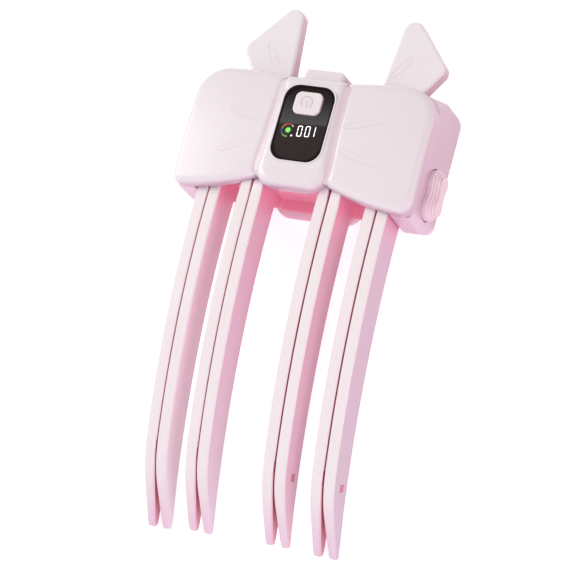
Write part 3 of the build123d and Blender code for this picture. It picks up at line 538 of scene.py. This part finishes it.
bright_steel = brushed_metal("bright_drawn_steel", "c9c9cc", "a8a8ad", 0.28, 0.25, 0)
spring_steel = brushed_metal("oiled_spring_steel", "b0aeae", "88878a", 0.32, 0.3, 0)
nickel = brushed_metal("nickel_plated_steel", "d6d3ce", "bdb9b3", 0.22, 0.3, 1)
heater_ceramic = plain_mottle("rose_ceramic_coating", "e0758a", "d66c82", 2.0, 0.3)
board_green = plain_mottle("green_solder_mask", "1f6b45", "185a39", 1.5, 0.4)
black_plastic = plain_mottle("black_moulded_plastic", "1c1c1e", "141416", 0.8, 0.45)
cell_wrap = plain_mottle("blue_shrink_wrap", "3c6fb4", "3463a4", 6.0, 0.35)
dress(["housing_screws", "carrier_screws", "board_screws", "guide_rods"], bright_steel)
dress(["left_return_spring", "right_return_spring"], spring_steel)
dress(["charge_port"], nickel)
dress([f"heater_plate_{number}" for number in (1, 2, 3, 4)], heater_ceramic)
dress(["main_board"], board_green)
dress(["display_module", "tact_switch"], black_plastic)
dress(["battery_cell"], cell_wrap)

# %% [markdown]
# ## The lit display
# Behind smoked acrylic, lit segments seem to lie on its surface. Each segment is a thin sliver
# with softened corners, laid a few hundredths of a millimetre proud of the window, so that it
# needs no glass to shine through. The digits lean and rise slightly, as they do in the shot.

# %% Digit and mark builder
WINDOW_FRONT = 5.1
MARK_THICKNESS = 0.04
DISPLAY_MIDDLE = Vector((0.0, 19.0, 0.0))
DISPLAY_LEAN = 3.4
display_turn = (
    Matrix.Translation(DISPLAY_MIDDLE)
    @ Matrix.Rotation(math.radians(DISPLAY_LEAN), 4, "Z")
    @ Matrix.Translation(-DISPLAY_MIDDLE)
)


def lit_film(name, hex_text, strength):
    """Light from a segment: a bright flat colour with a faint unevenness."""
    material, tree = new_finish(name)
    place = add_node(tree, "ShaderNodeTexCoord")
    cells = add_node(
        tree, "ShaderNodeTexNoise", {"Scale": per_mm(0.8), "Detail": 1.0}, {"Vector": place.outputs["Object"]}
    )
    level = add_node(
        tree,
        "ShaderNodeMapRange",
        {"To Min": strength * 0.95, "To Max": strength * 1.05},
        {"Value": cells.outputs["Fac"]},
    )
    shader = add_node(
        tree,
        "ShaderNodeBsdfPrincipled",
        {"Base Color": linear(hex_text), "Roughness": 0.4, "Emission Color": linear(hex_text)},
        {"Emission Strength": level.outputs["Result"]},
    )
    add_node(tree, "ShaderNodeOutputMaterial", None, {"Surface": shader.outputs["BSDF"]})
    return material


def sliver(bm, start, end, width):
    """One lit segment between two drawing places on the window, with softened corners."""
    first = Vector(start)
    last = Vector(end)
    run = last - first
    angle = math.atan2(run.y, run.x)
    middle = (first + last) / 2
    place = (
        Matrix.Translation((middle.x, middle.y, WINDOW_FRONT + MARK_THICKNESS / 2))
        @ Matrix.Rotation(angle, 4, "Z")
        @ Matrix.Diagonal((run.length + width * 0.5, width, MARK_THICKNESS, 1.0))
    )
    made = bmesh.ops.create_cube(bm, size=1.0, matrix=place)
    upright = [
        edge
        for edge in {edge for vert in made["verts"] for edge in vert.link_edges}
        if abs(edge.verts[0].co.z - edge.verts[1].co.z) > MARK_THICKNESS / 2
    ]
    bmesh.ops.bevel(
        bm, geom=upright, offset=width * 0.3, segments=2, profile=0.5, affect="EDGES", material=-1
    )


def finish_mark(bm, name, material, body):
    """Turn a mesh drawn in millimetres into a piece of the scene."""
    bmesh.ops.transform(bm, matrix=lie_down, verts=bm.verts)
    bmesh.ops.recalc_face_normals(bm, faces=bm.faces)
    mesh = bpy.data.meshes.new(name)
    bm.to_mesh(mesh)
    bm.free()
    piece = bpy.data.objects.new(name, mesh)
    bpy.context.scene.collection.objects.link(piece)
    mesh.materials.append(material)
    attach(piece, body)
    print(name, len(mesh.polygons), "faces")
    return piece


def shade_evenly(piece, sharp_degrees):
    """Smooth shading that leaves big flat faces flat and keeps edges over this angle crisp."""
    piece.data.shade_smooth()
    piece.data.set_sharp_from_angle(angle=math.radians(sharp_degrees))
    even = piece.modifiers.new("even_normals", "WEIGHTED_NORMAL")
    even.weight = 100
    even.keep_sharp = True

# %% Three digits
DIGIT_WIDTH = 1.42
DIGIT_HEIGHT = 3.45
DIGIT_LEAN = 0.03
DIGIT_BOTTOM = 17.35
DIGIT_LEFTS = (-1.15, 1.6, 3.45)
SEGMENT_WIDTH = 0.25
SEGMENT_GAP = 0.15
POINT_ENDS = ((-3.1, 17.35), (-2.85, 17.5))
POINT_WIDTH = 0.5
POINTER_ENDS = ((-3.55, 20.85), (-3.05, 20.3))
POINTER_WIDTH = 0.42
digit_white = lit_film("white_lit_segment", "ffffff", 1.0)
pointer_grey = lit_film("grey_lit_segment", "a9a9a9", 0.4)
# A run joins two corners of a digit, each given by its column and its row.
zero_runs = (
    ((0, 0), (1, 0)), ((0, 2), (1, 2)),
    ((0, 0), (0, 1)), ((0, 1), (0, 2)),
    ((1, 0), (1, 1)), ((1, 1), (1, 2)),
)
one_runs = (((1, 0), (1, 1)), ((1, 1), (1, 2)))
bm = bmesh.new()
for left, runs in zip(DIGIT_LEFTS, (zero_runs, zero_runs, one_runs)):
    for (c0, r0), (c1, r1) in runs:
        ends = []
        for column, row in ((c0, r0), (c1, r1)):
            x = left + column * DIGIT_WIDTH + row / 2 * DIGIT_HEIGHT * DIGIT_LEAN
            ends.append(Vector((x, DIGIT_BOTTOM + row / 2 * DIGIT_HEIGHT)))
        way = (ends[1] - ends[0]).normalized() * SEGMENT_GAP
        sliver(bm, ends[0] + way, ends[1] - way, SEGMENT_WIDTH)
sliver(bm, *POINT_ENDS, POINT_WIDTH)
bmesh.ops.transform(bm, matrix=display_turn, verts=bm.verts)
finish_mark(bm, "display_digits", digit_white, "housing")
bm = bmesh.new()
sliver(bm, *POINTER_ENDS, POINTER_WIDTH)
finish_mark(bm, "ring_pointer", pointer_grey, "housing")

# %% [markdown]
# ## The charge ring
# To the left of the digits a small ring is made of four coloured arcs round a green dot. An arc
# is a run of short slivers, and the dot is a many-sided disc.

# %% Ring and dot
RING_CENTRE = Vector((-4.65, 18.95))
RING_RADIUS = 2.15
ARC_STEPS = 6
ARC_WIDTH = 0.5
ARC_LIGHT = 0.15
DOT_CENTRE = Vector((-4.55, 19.0))
DOT_SLOPE = 0.08
# Each arc: its name, its colour, and the two angles between which it runs.
ring_colours = (
    ("red", "b83a2c", 62, 118), ("orange", "c4803c", 122, 165),
    ("blue", "3a5f8c", 172, 222), ("lime", "7fb866", 232, 275),
)
for colour_name, hex_text, first, last in ring_colours:
    bm = bmesh.new()
    spots = []
    for step in range(ARC_STEPS + 1):
        angle = math.radians(first + (last - first) * step / ARC_STEPS)
        spots.append(RING_CENTRE + RING_RADIUS * Vector((math.cos(angle), math.sin(angle))))
    for start, end in zip(spots, spots[1:]):
        sliver(bm, start, end, ARC_WIDTH)
    film = lit_film(f"{colour_name}_lit_segment", hex_text, ARC_LIGHT)
    finish_mark(bm, f"ring_arc_{colour_name}", film, "housing")
for dot_name, radius, thickness, hex_text, strength in (
    ("charge_halo", 1.15, MARK_THICKNESS, "2f6b2a", 0.25),
    ("charge_dot", 0.8, 2 * MARK_THICKNESS, "6edc4a", 0.75),
):
    bm = bmesh.new()
    bmesh.ops.create_cone(
        bm,
        cap_ends=True,
        segments=32,
        radius1=radius,
        radius2=radius - DOT_SLOPE,
        depth=thickness,
        matrix=Matrix.Translation((*DOT_CENTRE, WINDOW_FRONT + thickness / 2)),
    )
    film = lit_film(f"{dot_name}_green", hex_text, strength)
    finish_mark(bm, dot_name, film, "housing")

# %% [markdown]
# ## Blunt tips
# Each pair opens like a V at the tips, and the tips themselves stay fairly wide. The tines come
# from CAD with a long slim taper. Here each tine is a merged copy of its CAD mesh, in which the
# taper starts lower and takes less off the gap side. On the right half the dark line between two
# tines is a little wider in the shot, so their gap sides are shaved by a hair. Three of the pairs
# end about a millimetre higher than they were drawn.

# %% Eight tines with blunt tips
HALF_GAP = 0.175
TINE_WIDTH = 3.95
# Where a taper starts, how much it takes off, and the power that its curve swells with.
CAD_TAPER = (85.0, 1.9, 1.0)
BLUNT_TAPER = (93.0, 1.1, 1.3)
TIP_RADIUS = 1.2
TIP_RISE = 0.1


def taper_loss(y, low, start, loss, power):
    """What the gap side has lost at a height y, when the tip is at low."""
    share = max(0.0, (-y - start) / (-low - TIP_RADIUS - start))
    return loss * share**power


def drawn_copy(name):
    """A copy of a CAD mesh in the drawing's millimetres, with its loose corners merged."""
    bm = bmesh.new()
    bm.from_mesh(nodes[name].data)
    bmesh.ops.transform(bm, matrix=lie_down.inverted(), verts=bm.verts)
    bmesh.ops.remove_doubles(bm, verts=bm.verts, dist=0.001)
    return bm


def blunt_tine(name, sign, gap_x, outward, shave, cut):
    """A copy of a tine, drawn out on the gap side near the tip, shaved there and cut shorter."""
    bm = drawn_copy(name)
    low = min(vert.co.y for vert in bm.verts)
    for vert in bm.verts:
        old = TINE_WIDTH - taper_loss(vert.co.y, low, *CAD_TAPER)
        new = TINE_WIDTH - shave - taper_loss(vert.co.y, low, *BLUNT_TAPER)
        depth = (abs(vert.co.x) - gap_x) * outward
        depth = TINE_WIDTH - (TINE_WIDTH - depth) * new / old
        vert.co.x = sign * (gap_x + depth * outward)
        share = min(vert.co.y + BLUNT_TAPER[0], 0.0) / (low + BLUNT_TAPER[0])
        vert.co.y += cut * share
        vert.co.z += cut * share * TIP_RISE
    body = body_of(nodes[name])[0]
    piece = finish_mark(bm, f"{name}_blunt", nodes[name].data.materials[0], body)
    shade_evenly(piece, sharp_degrees=25)
    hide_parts(name)


# Each pair: its number, its side, its middle, what is shaved off, and how much shorter it is.
for number, sign, centre, shave, cut in (
    (1, -1, PAIR_CENTRES[1], 0.0, 0.0), (2, -1, PAIR_CENTRES[0], 0.0, 0.8),
    (3, 1, PAIR_CENTRES[0], 0.08, 1.3), (4, 1, PAIR_CENTRES[1], 0.08, 1.2),
):
    blunt_tine(f"heated_tine_{number}", sign, centre + HALF_GAP, 1, shave, cut)
    blunt_tine(f"moving_tine_{number}", sign, centre - HALF_GAP, -1, shave, cut)

# %% [markdown]
# ## Windows near the tips
# Each heated tine has a small window on its outer side. A thin plate of rose plastic closes it,
# almost flush with the skin of the tine. The plate lies on the arc that the tine follows.

# %% Four rose plates
FRONT_RADIUS = 260.0
FRONT_TOP = 1.0
OUTER_SETBACK = 2.5
WINDOW_DROP = 6.1
WINDOW_Y = 89.6
PLATE_SIZE = (0.38, 2.5, 2.6)
PLATE_SINK = 0.16
rose_plate = plain_mottle("rose_moulded_plastic", "d4708a", "c9647f", 0.8, 0.4)
turn = math.asin(WINDOW_Y / FRONT_RADIUS)
reach = FRONT_RADIUS - WINDOW_DROP
for number, side, centre, setback in (
    (1, -1, PAIR_CENTRES[1], OUTER_SETBACK), (2, -1, PAIR_CENTRES[0], 0.0),
    (3, 1, PAIR_CENTRES[0], 0.0), (4, 1, PAIR_CENTRES[1], OUTER_SETBACK),
):
    x = side * (centre + HALF_GAP + TINE_WIDTH - PLATE_SINK)
    height = FRONT_TOP - setback - FRONT_RADIUS + reach * math.cos(turn)
    place = (
        Matrix.Translation((x, -reach * math.sin(turn), height))
        @ Matrix.Rotation(turn, 4, "X")
        @ Matrix.Diagonal((*PLATE_SIZE, 1.0))
    )
    bm = bmesh.new()
    bmesh.ops.create_cube(bm, size=1.0, matrix=place)
    finish_mark(bm, f"tine_window_{number}", rose_plate, "housing")

# %% [markdown]
# ## The window's border and bezel
# Round the acrylic runs a narrow printed black border, and round that a fine raised bezel of the
# pink shell, which catches the light. Both are frames: two outlines bridged into a ring, lifted,
# and the bezel's upper edges bevelled.

# %% Border and bezel
WINDOW_CENTRE = (0.0, 21.75)
WINDOW_HALF = (8.85, 12.95)
LENS_CORNER = 6.3
BORDER_CORNER = 4.7
CORNER_STEPS = 12
KNOT_FACE = 5.3
FRAME_SUNK = 0.3
BORDER_PROUD = 0.04
BEZEL_PROUD = 0.22


def rounded_outline(grow, corner, z):
    """Points of a rounded rectangle round the window, a little larger or smaller than it."""
    radius = corner + grow
    points = []
    for quarter, (sx, sy) in enumerate(((1, 1), (-1, 1), (-1, -1), (1, -1))):
        for step in range(CORNER_STEPS + 1):
            angle = math.radians(90 * quarter + 90 * step / CORNER_STEPS)
            x = WINDOW_CENTRE[0] + sx * (WINDOW_HALF[0] - corner) + radius * math.cos(angle)
            y = WINDOW_CENTRE[1] + sy * (WINDOW_HALF[1] - corner) + radius * math.sin(angle)
            points.append((x, y, z))
    return points


def window_frame(name, material, inner, outer, proud, soft):
    """A flat ring round the window, raised over the face of the knot, with soft upper edges."""
    low = KNOT_FACE - FRAME_SUNK
    high = KNOT_FACE + proud
    bm = bmesh.new()
    loops = []
    for grow, corner in (inner, outer):
        ring = [bm.verts.new(point) for point in rounded_outline(grow, corner, low)]
        loops += [bm.edges.new((a, b)) for a, b in zip(ring, ring[1:] + ring[:1])]
    bmesh.ops.bridge_loops(bm, edges=loops)
    made = bmesh.ops.extrude_face_region(bm, geom=bm.faces[:])
    lifted = [part for part in made["geom"] if isinstance(part, bmesh.types.BMVert)]
    bmesh.ops.translate(bm, vec=(0, 0, high - low), verts=lifted)
    bm.normal_update()
    rims = [
        edge for edge in bm.edges
        if min(vert.co.z for vert in edge.verts) > high - 0.001
        and abs(edge.link_faces[0].normal.z - edge.link_faces[1].normal.z) > 0.5
    ]
    bmesh.ops.bevel(bm, geom=rims, offset=soft, segments=3, profile=0.5, affect="EDGES", material=-1)
    piece = finish_mark(bm, name, material, "housing")
    shade_evenly(piece, sharp_degrees=40)


# Matt ink mirrors far less than plastic, so its IOR is low.
black_ink = plain_mottle("screen_printed_black_ink", "151111", "110e0e", 0.8, 0.5, 1.15)
# Each outline: how much larger than the window it is, and the radius of its corners.
inner_line = (-0.42, LENS_CORNER)
middle_line = (0.12, BORDER_CORNER)
outer_line = (0.75, BORDER_CORNER)
window_frame("window_border", black_ink, inner_line, middle_line, BORDER_PROUD, soft=0.02)
window_frame("window_bezel", shell_abs, middle_line, outer_line, BEZEL_PROUD, soft=0.2)

# %% [markdown]
# ## The power sign
# The sign on the button is a thin print in a slightly deeper pink: a ring that is open at the
# bottom, and a bar that runs down through the opening.

# %% Power sign on the button
BUTTON_FRONT = 6.0
SIGN_CENTRE = Vector((-0.3, 28.85))
SIGN_RADIUS = 1.95
SIGN_WIDTH = 0.34
SIGN_STEPS = 24
SIGN_ARC = (-50, 230)
SIGN_BAR = (Vector((0.05, 0.45)), Vector((0.25, -1.8)))
sign_ink = plain_mottle("pad_printed_pink_ink", "ecccd3", "e6c2ca", 0.6, 0.45)
bm = bmesh.new()
spots = []
for step in range(SIGN_STEPS + 1):
    angle = math.radians(SIGN_ARC[0] + (SIGN_ARC[1] - SIGN_ARC[0]) * step / SIGN_STEPS)
    spots.append(SIGN_CENTRE + SIGN_RADIUS * Vector((math.cos(angle), math.sin(angle))))
for start, end in zip(spots, spots[1:]):
    sliver(bm, start, end, SIGN_WIDTH)
sliver(bm, SIGN_CENTRE + SIGN_BAR[0], SIGN_CENTRE + SIGN_BAR[1], SIGN_WIDTH)
bmesh.ops.translate(bm, vec=(0, 0, BUTTON_FRONT - WINDOW_FRONT), verts=bm.verts)
finish_mark(bm, "power_sign", sign_ink, "button")

# %% [markdown]
# ## Soft valleys beside the knot
# Where the knot meets a lobe the real moulding has a soft valley, as if a ball had rolled along the
# joint. The same is done here with numbers: rays find the height of the cover across the joint,
# and a ball that rolls over these heights leaves the lowest surface that it can touch.

# %% Two valleys
# Half the knot's width at its foot and at its head, and the height of its head.
KNOT_HALF = (13.2, 11.4)
KNOT_TOP = 38.3
# The ball's radius, which grows from small to full between two heights.
SMALL_BALL = 0.9
BALL = 4.5
BALL_GROWS = (2.0, 9.0)
ROLL_STEP = 0.2
# How far the skin reaches across the joint and along it, and how deep it hides where it isn't
# needed.
VALLEY_ACROSS = (-7.0, 7.0)
VALLEY_ALONG = (0.9, 36.6)
VALLEY_ROWS = 60
VALLEY_HIDE = 0.06
VALLEY_WALL = 0.3
NO_SKIN = -6.0
LOWEST_SKIN = -3.0
bm = bmesh.new()
bm.from_mesh(nodes["front_cover"].data)
bmesh.ops.transform(bm, matrix=lie_down.inverted(), verts=bm.verts)
cover_tree = BVHTree.FromBMesh(bm)
bm.free()


def cover_height(x, y):
    """Height of the cover's skin in millimetres, found by a ray from the front.

    The window counts as closed, and NO_SKIN stands for a ray that meets nothing."""
    if abs(x) < WINDOW_HALF[0] + 0.5 and abs(y - WINDOW_CENTRE[1]) < WINDOW_HALF[1] + 0.5:
        return KNOT_FACE
    hit = cover_tree.ray_cast(Vector((x, y, 30.0)), Vector((0, 0, -1)))[0]
    return hit.z if hit else NO_SKIN


def rolled(heights, radius):
    """Heights that a ball of this radius leaves when it rolls over these from above."""
    reach = int(radius / ROLL_STEP)
    ball = [math.sqrt(radius**2 - (k * ROLL_STEP) ** 2) for k in range(-reach, reach + 1)]
    middles = [
        max(heights[i + k] + ball[k + reach] for k in range(-reach, reach + 1) if 0 <= i + k < len(heights))
        for i in range(len(heights))
    ]
    return [
        min(middles[i + k] - ball[k + reach] for k in range(-reach, reach + 1) if 0 <= i + k < len(heights))
        for i in range(len(heights))
    ]


def valley(name, side):
    """A thin skin along the joint of the knot and a lobe, sunk where nothing is filled."""
    columns = round((VALLEY_ACROSS[1] - VALLEY_ACROSS[0]) / ROLL_STEP)
    bm = bmesh.new()
    bmesh.ops.create_grid(bm, x_segments=columns, y_segments=VALLEY_ROWS, size=0.5)
    rows = {}
    shown = set()
    for vert in bm.verts:
        rows.setdefault(round(vert.co.y, 5), []).append(vert)
    for level, row in rows.items():
        row.sort(key=lambda vert: vert.co.x)
        y = VALLEY_ALONG[0] + (level + 0.5) * (VALLEY_ALONG[1] - VALLEY_ALONG[0])
        joint = KNOT_HALF[0] + (KNOT_HALF[1] - KNOT_HALF[0]) * y / KNOT_TOP
        places = [side * (joint + VALLEY_ACROSS[0] + i * ROLL_STEP) for i in range(len(row))]
        heights = [cover_height(x, y) for x in places]
        grown = min(max((y - BALL_GROWS[0]) / (BALL_GROWS[1] - BALL_GROWS[0]), 0.0), 1.0)
        radius = SMALL_BALL + (BALL - SMALL_BALL) * grown
        for vert, x, height, filled in zip(row, places, heights, rolled(heights, radius)):
            if filled > height + 0.01 and abs(x) > WINDOW_HALF[0] + 0.6:
                shown.add(vert)
            vert.co = (x, y, filled if vert in shown else height - VALLEY_HIDE)
    unused = [
        face for face in bm.faces
        if not shown.intersection(face.verts) or min(vert.co.z for vert in face.verts) < LOWEST_SKIN
    ]
    bmesh.ops.delete(bm, geom=unused, context="FACES")
    if sum(face.normal.z for face in bm.faces) < 0:
        bmesh.ops.reverse_faces(bm, faces=bm.faces[:])
    bmesh.ops.solidify(bm, geom=bm.faces[:], thickness=VALLEY_WALL)
    # The skin wears the pinker valley copy of the bow's plastic: painted shade in the fold.
    piece = finish_mark(bm, name, valley_shade_abs, "housing")
    piece.data.shade_smooth()


valley("knot_valley_left", -1)
valley("knot_valley_right", 1)

# %% [markdown]
# ## Shallow creases on the ribbon ends
# The creases on the two ribbon ends are grooves in the CAD part. They are a little too dark, so a
# merged copy of each end has the floor of its groove lifted to a third of the depth.

# %% Two ribbon ends
GROOVE_DEPTH = 0.25
GROOVE_LIFT = 0.17
GROOVE_REACH = 1.6
tail_grooves = {"left": ((-28.7, 55.3), (-21.0, 44.2)), "right": ((25.7, 56.0), (17.4, 45.2))}


def near_groove(place, start, end):
    """True for a place in the leaf-shaped groove that runs from start to end."""
    first = Vector(start)
    way = Vector(end) - first
    share = min(max((place.xy - first).dot(way) / way.length_squared, 0.0), 1.0)
    return (place.xy - first - way * share).length < GROOVE_REACH


for side_name, groove in tail_grooves.items():
    name = f"{side_name}_ribbon_tail"
    bm = drawn_copy(name)
    front = max(vert.co.z for vert in bm.verts)
    floor_verts = [
        vert for vert in bm.verts
        if abs(vert.co.z - front + GROOVE_DEPTH) < 0.02 and near_groove(vert.co, *groove)
    ]
    bmesh.ops.translate(bm, vec=(0, 0, GROOVE_LIFT), verts=floor_verts)
    print(name, len(floor_verts), "groove floor points lifted")
    piece = finish_mark(bm, f"{name}_soft", tail_abs, body_of(nodes[name])[0])
    shade_evenly(piece, sharp_degrees=25)
    # The groove's rim stays crisp, so the flat face around it keeps one even normal.
    drawn = [lie_down.inverted() @ vert.co for vert in piece.data.vertices]
    for edge in piece.data.edges:
        if all(near_groove(drawn[number], *groove) for number in edge.vertices):
            edge.use_edge_sharp = True
    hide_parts(name)

# %% [markdown]
# ## Return springs
# On the real clip a steel coil between the middle rib and each slider is pressed shorter when the
# grip pad moves in. Here a merged copy of each CAD coil stands in for it, fixed to the housing,
# and keeps its length.

# %% Two return springs
for side_name, sign in (("left", -1), ("right", 1)):
    name = f"{side_name}_return_spring"
    bm = drawn_copy(name)
    piece = finish_mark(bm, f"{name}_coil", spring_steel, "housing")
    piece.data.shade_smooth()
    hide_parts(name)
    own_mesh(piece)

# %% [markdown]
# ## Creases in the ribbon
# Each lobe has two faint leaf-shaped creases that suggest gathered cloth. A crease is a hair-thin
# strip along a leaf outline, lying on the crown of the lobe. The crown is a sphere, so the height
# at any place on it is known exactly.

# %% Four creases on the crown
CROWN_RADIUS = 230.0
CROWN_PLACE = (17.0, 18.5)
CROWN_TOP = 4.7
CREASE_PROUD = 0.02
CREASE_SINK = 0.1
CREASE_WIDTH = 0.42
CREASE_TIP = 0.15
LEAF_BULGE = 1.25
LEAF_SLIM = 0.35
CREASE_STEPS = 28
# The creases' deeper pink is painted shade, where a pressed fold would be shaded.
crease_shade = plain_mottle("crease_shade_on_pink_abs", "ecd9dc", "e7d1d5", 1.2, 0.45)


def crown_height(x, y):
    """Height of the lobe's crown over the rim, in millimetres."""
    away = (abs(x) - CROWN_PLACE[0]) ** 2 + (y - CROWN_PLACE[1]) ** 2
    return CROWN_TOP - CROWN_RADIUS + math.sqrt(CROWN_RADIUS**2 - away)


def crease_line(start, end, reach):
    """Middle line of a crease: out along one side, round the far end, and part of the way back."""
    along = (end - start).normalized()
    across = Vector((-along.y, along.x))
    length = (end - start).length
    line = []
    for step in range(CREASE_STEPS + 1):
        turn = math.pi * (2 * step / CREASE_STEPS - 1)
        run = 0.5 - 0.5 * math.cos(turn)
        if turn < 0 or run < reach:
            side = math.sin(turn) * LEAF_BULGE * (1 - LEAF_SLIM * run)
            line.append(start + along * length * run + across * side)
    return line


def lay_strip(bm, line):
    """A closed thin strip along a line on the crown, slim at both ends."""
    rings = []
    for number, spot in enumerate(line):
        before = line[max(number - 1, 0)]
        after = line[min(number + 1, len(line) - 1)]
        way = (after - before).normalized()
        share = number / (len(line) - 1)
        swell = CREASE_TIP + (1 - CREASE_TIP) * math.sin(math.pi * share)
        half = Vector((-way.y, way.x)) * CREASE_WIDTH / 2 * swell
        ring = []
        for side, lift in ((-1, -CREASE_SINK), (1, -CREASE_SINK), (0.5, CREASE_PROUD), (-0.5, CREASE_PROUD)):
            place = spot + half * side
            ring.append(bm.verts.new((place.x, place.y, crown_height(place.x, place.y) + lift)))
        rings.append(ring)
    for first, second in zip(rings, rings[1:]):
        for corner in range(4):
            after = (corner + 1) % 4
            bm.faces.new((first[corner], first[after], second[after], second[corner]))
    bm.faces.new(rings[0])
    bm.faces.new(rings[-1])


# Each crease: its name, its two ends, and how far back its second side runs.
creases = (
    ("left_upper", (-27.6, 24.9), (-14.8, 21.2), 0.7),
    ("left_lower", (-28.1, 9.5), (-15.2, 15.0), 0.75),
    ("right_upper", (13.9, 22.5), (28.5, 26.4), 0.8),
    ("right_lower", (14.7, 14.6), (28.0, 10.8), 0.7),
)
for crease_name, start, end, reach in creases:
    bm = bmesh.new()
    lay_strip(bm, crease_line(Vector(start), Vector(end), reach))
    finish_mark(bm, f"crease_{crease_name}", crease_shade, "housing")

# %% [markdown]
# ## Floor and light
# The clip lies on a white sweep. A white floor would render grey wherever the lamps are weak,
# so for the camera it also glows a little, which keeps it white and leaves the soft shadow. A
# large soft lamp on the left lights the face, a weaker pinkish one fills the right, and a lilac
# one shines in low from the tips. Two cards, which mirrored rays alone can see, give the window
# the bright upper half of a glass plate under a studio lamp.

# %% White floor
def straight_or_mirrored(tree):
    """One for a ray from the camera, and for one that metal or glass sent on."""
    ray = add_node(tree, "ShaderNodeLightPath")
    share = ray.outputs["Is Camera Ray"]
    for kind in ("Is Glossy Ray", "Is Transmission Ray"):
        share = add_node(
            tree, "ShaderNodeMath", {"operation": "MAXIMUM"}, {0: share, 1: ray.outputs[kind]}
        ).outputs["Value"]
    return share


FLOOR_HALF = 2.5
FLOOR_GLOW = 0.62
bm = bmesh.new()
bmesh.ops.create_grid(bm, x_segments=1, y_segments=1, size=FLOOR_HALF)
floor_mesh = bpy.data.meshes.new("floor")
bm.to_mesh(floor_mesh)
bm.free()
floor = bpy.data.objects.new("floor", floor_mesh)
bpy.context.scene.collection.objects.link(floor)
sweep_paper, tree = new_finish("white_sweep_paper")
paper = add_node(tree, "ShaderNodeBsdfDiffuse", {"Color": linear("fafafa")})
glow = add_node(tree, "ShaderNodeEmission", {"Color": linear("ffffff"), "Strength": FLOOR_GLOW})
both = add_node(tree, "ShaderNodeAddShader", None, {0: paper.outputs["BSDF"], 1: glow.outputs["Emission"]})
pick = add_node(
    tree,
    "ShaderNodeMixShader",
    None,
    {"Fac": straight_or_mirrored(tree), 1: paper.outputs["BSDF"], 2: both.outputs["Shader"]},
)
add_node(tree, "ShaderNodeOutputMaterial", None, {"Surface": pick.outputs["Shader"]})
floor_mesh.materials.append(sweep_paper)

# %% Lamps, cards and world
LAMP_AIM = (0, 0, 0.02)
WORLD_LIGHT = 0.45
CARD_HALF = 12.0
CARD_HEIGHT = 150.0


def soft_lamp(name, place, side, power, hex_text="ffffff"):
    """A square soft lamp at a place in metres, pointed at the middle of the clip."""
    data = bpy.data.lights.new(name, "AREA")
    data.size = side
    data.energy = power
    data.color = linear(hex_text)[:3]
    lamp = bpy.data.objects.new(name, data)
    lamp.location = place
    lamp.rotation_euler = (Vector(LAMP_AIM) - Vector(place)).to_track_quat("-Z", "Y").to_euler()
    bpy.context.scene.collection.objects.link(lamp)


def mirrored_card(name, low_left, low_right, high, low_strength, high_strength):
    """A card placed where the window mirrors it between these drawing heights, fading upwards."""
    mirror_eye = Vector((eye.x, eye.y, 2 * WINDOW_FRONT - eye.z))
    bm = bmesh.new()
    corners = []
    for x, y in ((-CARD_HALF, low_left), (CARD_HALF, low_right), (CARD_HALF, high), (-CARD_HALF, high)):
        spot = Vector((x, y, WINDOW_FRONT))
        ray = spot - mirror_eye
        corners.append(bm.verts.new(lie_down @ (spot + ray * (CARD_HEIGHT / ray.z))))
    bm.faces.new(corners)
    mesh = bpy.data.meshes.new(name)
    bm.to_mesh(mesh)
    bm.free()
    card = bpy.data.objects.new(name, mesh)
    bpy.context.scene.collection.objects.link(card)
    for kind in ("camera", "diffuse", "shadow", "transmission"):
        setattr(card, f"visible_{kind}", False)
    low_y = min(vert.co.y for vert in mesh.vertices)
    high_y = max(vert.co.y for vert in mesh.vertices)
    material, tree = new_finish(name)
    place = add_node(tree, "ShaderNodeTexCoord")
    split = add_node(tree, "ShaderNodeSeparateXYZ", None, {0: place.outputs["Object"]})
    level = add_node(
        tree,
        "ShaderNodeMapRange",
        {"From Min": low_y, "From Max": high_y, "To Min": low_strength, "To Max": high_strength},
        {"Value": split.outputs["Y"]},
    )
    light = add_node(
        tree, "ShaderNodeEmission", {"Color": linear("ecfbf7")}, {"Strength": level.outputs["Result"]}
    )
    add_node(tree, "ShaderNodeOutputMaterial", None, {"Surface": light.outputs["Emission"]})
    mesh.materials.append(material)


mirrored_card("window_card_low", 21.0, 22.1, 30.0, 3.6, 0.9)
mirrored_card("window_card_high", 30.0, 30.0, 37.0, 0.9, 0.0)
soft_lamp("key_lamp", (-1.0, 0.15, 0.75), 0.7, 8.3)
soft_lamp("fill_lamp", (0.8, -0.1, 0.5), 0.6, 3.2, "ffeaf4")
soft_lamp("low_lamp", (0.1, -0.9, 0.3), 0.5, 2.0, "ecdcff")
world = bpy.data.worlds.new("studio_world")
bpy.context.scene.world = world
world.use_nodes = True
tree = world.node_tree
tree.nodes.clear()
room = add_node(tree, "ShaderNodeBackground", {"Color": linear("ffffff"), "Strength": WORLD_LIGHT})
white = add_node(tree, "ShaderNodeBackground", {"Color": linear("ffffff"), "Strength": 1.0})
pick = add_node(
    tree,
    "ShaderNodeMixShader",
    None,
    {"Fac": straight_or_mirrored(tree), 1: room.outputs["Background"], 2: white.outputs["Background"]},
)
add_node(tree, "ShaderNodeOutputWorld", None, {"Surface": pick.outputs["Shader"]})
bpy.context.scene.view_settings.view_transform = "Standard"
